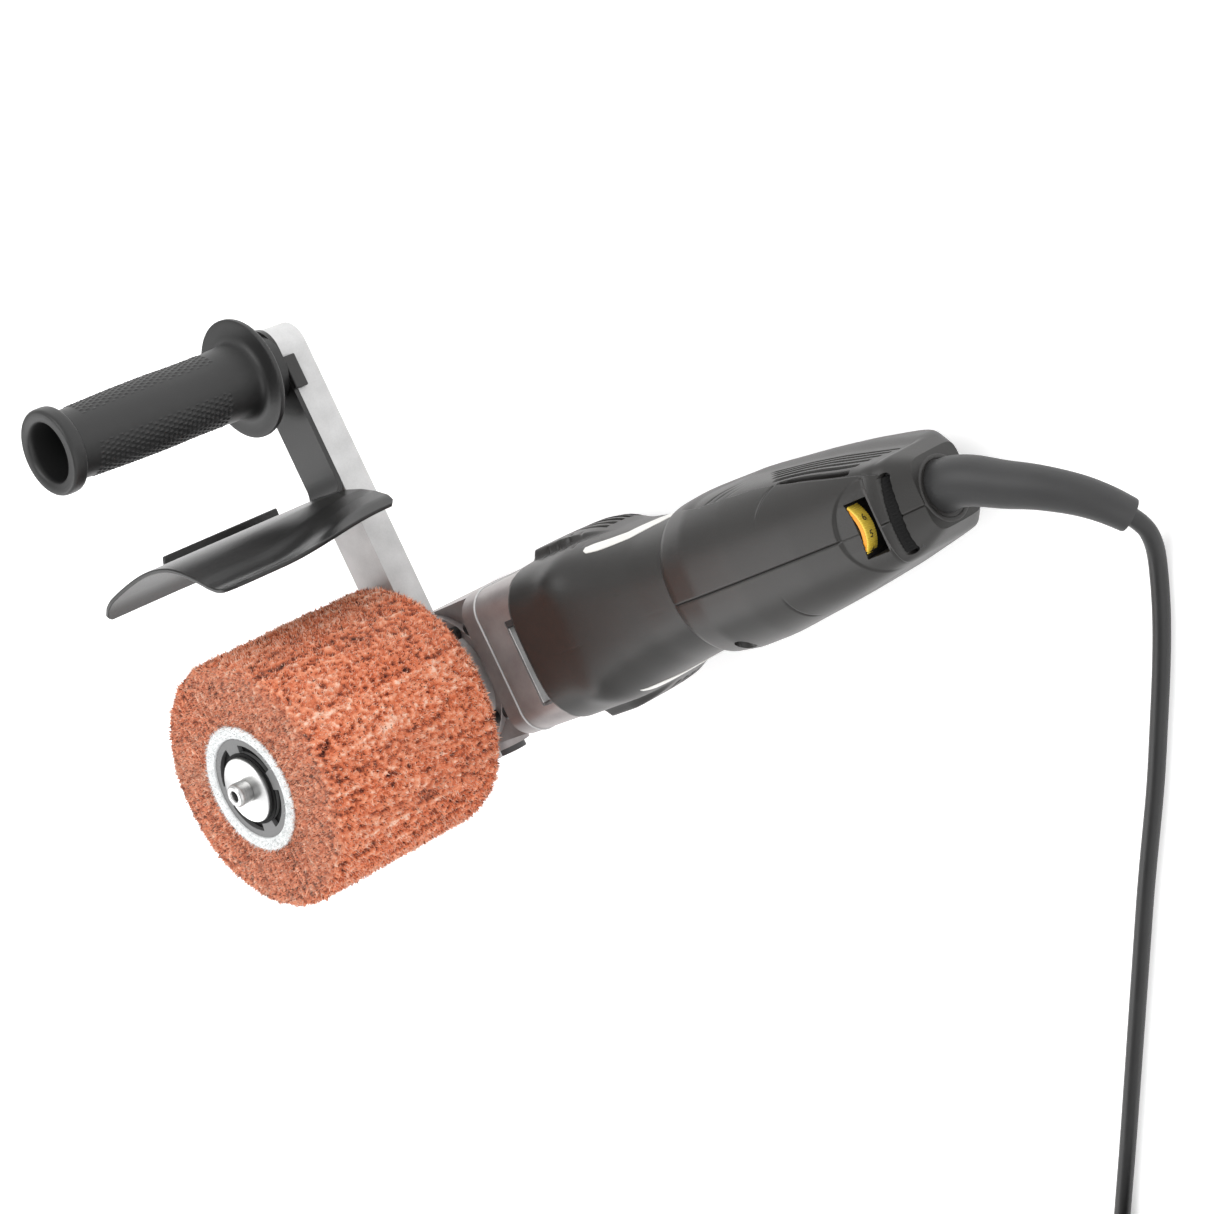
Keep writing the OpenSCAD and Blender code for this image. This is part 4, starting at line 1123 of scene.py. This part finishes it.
FLANGE_Y = 35.0
FLANGE_TOP, FLANGE_BACK = 34.0, 37.0
FLANGE_CORNER = 12.0
FLANGE_START, FLANGE_END = 48.2, 75.4
FLANGE_EDGE = ((0, 0.1, 0.4, 0.9), (0.9, 0.5, 0.15, 0.0))
WINDOW_X = 65.2
WINDOW_Y = (-23.0, 17.4)
WINDOW_DEEP = 4.2
BEAD_SIDES = 10
BEAD_R = 0.5


def flange_outline():
    """Points and outward directions round the rounded square gear flange."""
    points, outward = [], []
    for k, (cy, cz) in enumerate(((1, 1), (-1, 1), (-1, -1), (1, -1))):
        high = FLANGE_TOP if cz > 0 else FLANGE_BACK
        centre = np.array([cy * (FLANGE_Y - FLANGE_CORNER), cz * (high - FLANGE_CORNER)])
        for a in np.linspace(k * math.pi / 2, (k + 1) * math.pi / 2, 28):
            out = np.array([math.cos(a), math.sin(a)])
            points.append(centre + FLANGE_CORNER * out)
            outward.append(out)
    fine_points, fine_out = [], []
    for i, point in enumerate(points):
        ahead = points[(i + 1) % len(points)] - point
        steps = max(1, int(np.linalg.norm(ahead) / 0.4))
        for t in np.arange(steps) / steps:
            fine_points.append(point + ahead * t)
            fine_out.append(outward[i])
    return np.array(fine_points), np.array(fine_out)


def plain_block(name, low, high, slot, material=None):
    bm = bmesh.new()
    bmesh.ops.create_cube(bm, size=1.0)
    low, high = np.array(low, float), np.array(high, float)
    for v in bm.verts:
        v.co = Vector(here((low + high) / 2 + np.array(v.co) * (high - low)))
    finish_piece(bevelled(from_bmesh(name, bm), 0.2, 2, 30), slot, material=material)


def make_flange():
    outline, outward = flange_outline()
    xs = np.concatenate([[FLANGE_START, FLANGE_START + 0.1, FLANGE_START + 0.4],
                         np.arange(FLANGE_START + 0.9, FLANGE_END, 0.35), [FLANGE_END]])
    inset = np.interp(xs - FLANGE_START, *FLANGE_EDGE)[:, None]
    y = outline[:, 0] - outward[:, 0] * inset
    z = outline[:, 1] - outward[:, 1] * inset
    points = np.stack([xs[:, None] + 0 * y, y, z], -1)
    window = inside_box(points[..., 0], WINDOW_X, 90, 0.3) * inside_box(points[..., 1], *WINDOW_Y, 0.5)
    points = sink_to(points, window * (points[..., 2] > 30), FLANGE_TOP - WINDOW_DEEP)
    obj = closed_piece("motor_flange_cast", points, tube_faces(*y.shape))
    finish_piece(obj, "cast_alloy", replaces=("motor_flange",), angle=50)
    # the bead of the joint against the gear case, in the lighter silver paint as a painted highlight
    a = np.linspace(0, math.tau, BEAD_SIDES, endpoint=False)
    lift = 0.05 + BEAD_R * np.cos(a)
    y, z = (outline[:, k:k + 1] + outward[:, k:k + 1] * lift for k in (0, 1))
    ring = np.stack([FLANGE_START - 0.1 + BEAD_R * np.sin(a) + 0 * y, y, z], -1)
    bead = closed_piece("joint_bead_highlight", ring, quads(len(outline), BEAD_SIDES, True, True))
    finish_piece(bead, "cast_alloy", material=SILVER_PAINT)


def make_window():
    """The bright wall and floor of the flange's window, and a black block painted as the shadow in its notch.
    """
    x, (y0, y1), top = WINDOW_X, WINDOW_Y, FLANGE_TOP
    plain_block("window_wall", (x + 0.1, y0 + 0.8, top - 4.1), (x + 0.7, y1 - 3, top - 0.4),
                "cast_alloy", SILVER_PAINT)
    plain_block("window_floor", (x + 0.2, y0 + 0.8, top - 4.4), (FLANGE_END, y1 - 1, top - 3.9),
                "cast_alloy", SILVER_PAINT)
    # Painted shadow: a black block fills the notch's shadow gap.
    plain_block("window_notch_shadow", (x + 0.2, y1 - 2.6, top - 4.2), (FLANGE_END, y1 + 0.6, top + 0.05),
                "black_plastic")


make_flange()
make_window()


# ---- dial and labels -------------------------------------------------------
DIAL = (271.0, -1.3)
DIAL_R = 14.3
DIAL_LOW, DIAL_TOP = 22.6, 29.3
DIAL_RIM_R = 12.6
KNURLS = 90
KNURL_RISE = 0.16
DIGITS = 6
DIGIT_AT = 14.0
DIGIT_APART = 28
DIGIT_SIZE = 4.2
DIGIT_T = 0.06
DIGIT_Z = 26.2


def make_dial():
    outline = rounded([(3.2, DIAL_LOW), (DIAL_R - 0.4, DIAL_LOW), (DIAL_R, DIAL_LOW + 0.5),
                       (DIAL_R, DIAL_TOP - 0.5), (DIAL_R - 0.5, DIAL_TOP), (DIAL_RIM_R, DIAL_TOP),
                       (DIAL_RIM_R - 0.8, DIAL_TOP - 1.2), (3.2, DIAL_TOP - 1.4)], 0.3, 3)
    rim = [(DIAL_R, h) for h in np.linspace(DIAL_LOW + 1, DIAL_TOP - 1, 12)]
    split = max(i for i, p in enumerate(outline) if p[1] < DIAL_LOW + 1) + 1
    r, h = np.array(outline[:split] + rim + outline[split:]).T[..., None]
    angle = np.linspace(0, math.tau, KNURLS * 8, endpoint=False)
    ribs = np.clip(np.cos(angle * KNURLS), -0.4, 0.8)
    radius = r + KNURL_RISE * ribs * smooth_step((r - DIAL_R + 0.9) / 0.5)
    obj = closed_piece("dial_moulded", turned(radius, angle, h, DIAL), quads(len(r), len(angle), True, True))
    finish_piece(obj, "yellow_plastic", "dial", ("speed_dial",), angle=40)
    # Painted shade: a thin orange ring on the dial's top face stands in for its shaded part.
    face = [(DIAL_RIM_R - 0.4, DIAL_TOP - 0.1), (DIAL_R - 0.45, DIAL_TOP - 0.1),
            (DIAL_R - 0.5, DIAL_TOP + 0.07), (DIAL_RIM_R - 0.4, DIAL_TOP + 0.07)]
    finish_piece(lathe("dial_top_shade", face, (*DIAL, 0), turns=160), "yellow_plastic", "dial", material=DIAL_SHADE_PAINT)


def make_digit(digit, turn):
    """A digit printed on the dial's rim, read along the way that it turns."""
    curve = bpy.data.curves.new("digit", "FONT")
    curve.body = str(digit)
    curve.size = DIGIT_SIZE * MM
    curve.extrude = DIGIT_T * MM
    curve.align_x = "CENTER"
    curve.align_y = "CENTER"
    text = bpy.data.objects.new("digit_curve", curve)
    obj = new_object("digit_%d" % digit, bpy.data.meshes.new_from_object(text))
    out = Vector((math.cos(turn), math.sin(turn), 0))
    up = Vector((-math.sin(turn), math.cos(turn), 0))
    basis = Matrix((up.cross(out), up, out)).transposed().to_4x4()
    place = Vector((*DIAL, DIGIT_Z)) + (DIAL_R + 0.14) * out
    obj.matrix_world = Matrix.Translation(here(place)) @ basis
    finish_piece(obj, "black_plastic", "dial", material=INK)
    bpy.data.objects.remove(text)
    bpy.data.curves.remove(curve)


# Edges as (X, Z) lines along the housing's side: 1 is the handle side, -1 the other.
LABEL_TOP = {1: [(121.5, 22.5), (123.5, 23.5), (130, 22), (138, 19.5), (146, 16.6), (158, 8.8), (162, 4)],
             -1: [(118.5, 24), (121, 21.6), (127.6, 17.4), (134, 11), (146, 0), (160, -8)]}
LABEL_LOW = {1: [(121.5, 20.5), (126, 17.9), (134, 14.8), (141, 11.3), (145, 4), (150, -5), (162, -9)],
             -1: [(118.5, 22.5), (121, 17), (127.6, 10), (134, 4), (146, -8), (160, -15)]}
LABEL_RISE = 0.3
LABEL_SINK = 0.15


def make_label(name, side, replaces):
    """A blank label that follows the housing's side."""
    xs, tops = np.array(LABEL_TOP[side], float).T
    rows = np.linspace(xs[0], xs[-1], 50)
    top = np.interp(rows, xs, tops)
    low = np.interp(rows, *np.array(LABEL_LOW[side], float).T)
    t = np.linspace(0, 1, 30)
    angles = np.linspace(-0.75, 1.2, 400)
    grid = []
    for x, high, bottom in zip(rows, top, low):
        skin = skin_points(FRONT, np.full(len(angles), x), angles)
        at = np.interp(bottom + (high - bottom) * t, skin[:, 2], angles)
        grid.append(skin_points(FRONT, np.full(len(t), x), at))
    upper, lower = ((np.array(grid) + (0, rise, 0)) * (1, side, 1) for rise in (LABEL_RISE, -LABEL_SINK))
    finish_piece(slab(name, upper, lower), "pale_label", replaces=replaces)


make_dial()
for step in range(DIGITS):
    make_digit(DIGITS - step, math.radians(DIGIT_AT - DIGIT_APART * step))
make_label("label_handle_side", 1, ("name_plates",))
make_label("label_far_side", -1, ())


# ---- stage -----------------------------------------------------------------
FLOOR_HALF = 6.0
FLOOR_DROP = 0.0002
FLOOR_GLOW = 0.38
SKY_LOW = (0.45, WHITE)
SKY_HIGH = (0.85, grey(0.38))
AIM = Vector((0, 0, 0.05))
LIGHTS = {
    "key": ((0.3, 0.9, 1.5), 1.2, 16),
    "fill": ((1.2, -1.0, 1.0), 1.6, 8),
    "rim": ((-0.9, -0.3, 1.0), 1.0, 8)}


def make_floor():
    mesh = bpy.data.meshes.new("floor")
    corners = [(x * FLOOR_HALF, y * FLOOR_HALF, 0) for x, y in ((-1, -1), (1, -1), (1, 1), (-1, 1))]
    mesh.from_pydata(corners, [], [(0, 1, 2, 3)])
    floor = new_object("floor", mesh)
    floor.location.z = -FLOOR_DROP
    paper = Shader("paper", 0.9, specular=0.1)
    paper.colour(paper.ramp(paper.noise(3.0), [(0.3, grey(0.93)), (0.7, grey(0.95))]))
    paper.bsdf.inputs["Emission Color"].default_value = (*WHITE, 1)
    paper.bsdf.inputs["Emission Strength"].default_value = FLOOR_GLOW
    mesh.materials.append(paper.mat)


def make_sky():
    """A white surround that darkens overhead."""
    world = bpy.data.worlds.new("studio")
    world.use_nodes = True
    tree = world.node_tree
    height = tree.nodes.new("ShaderNodeSeparateXYZ")
    tree.links.new(tree.nodes.new("ShaderNodeTexCoord").outputs["Generated"], height.inputs[0])
    ramp = tree.nodes.new("ShaderNodeValToRGB")
    for item, (place, colour) in zip(ramp.color_ramp.elements, (SKY_LOW, SKY_HIGH)):
        item.position = place
        item.color = (*colour, 1)
    tree.links.new(height.outputs["Z"], ramp.inputs["Fac"])
    tree.links.new(ramp.outputs["Color"], tree.nodes["Background"].inputs["Color"])
    bpy.context.scene.world = world


def make_lights():
    for name, (place, size, power) in LIGHTS.items():
        light = bpy.data.lights.new(name, "AREA")
        light.size = size
        light.energy = power
        obj = new_object(name, light)
        obj.location = place
        obj.rotation_mode = "QUATERNION"
        obj.rotation_quaternion = (AIM - Vector(place)).to_track_quat("-Z", "Y")


bpy.context.scene.view_settings.view_transform = "Standard"
make_floor()
make_sky()
make_lights()
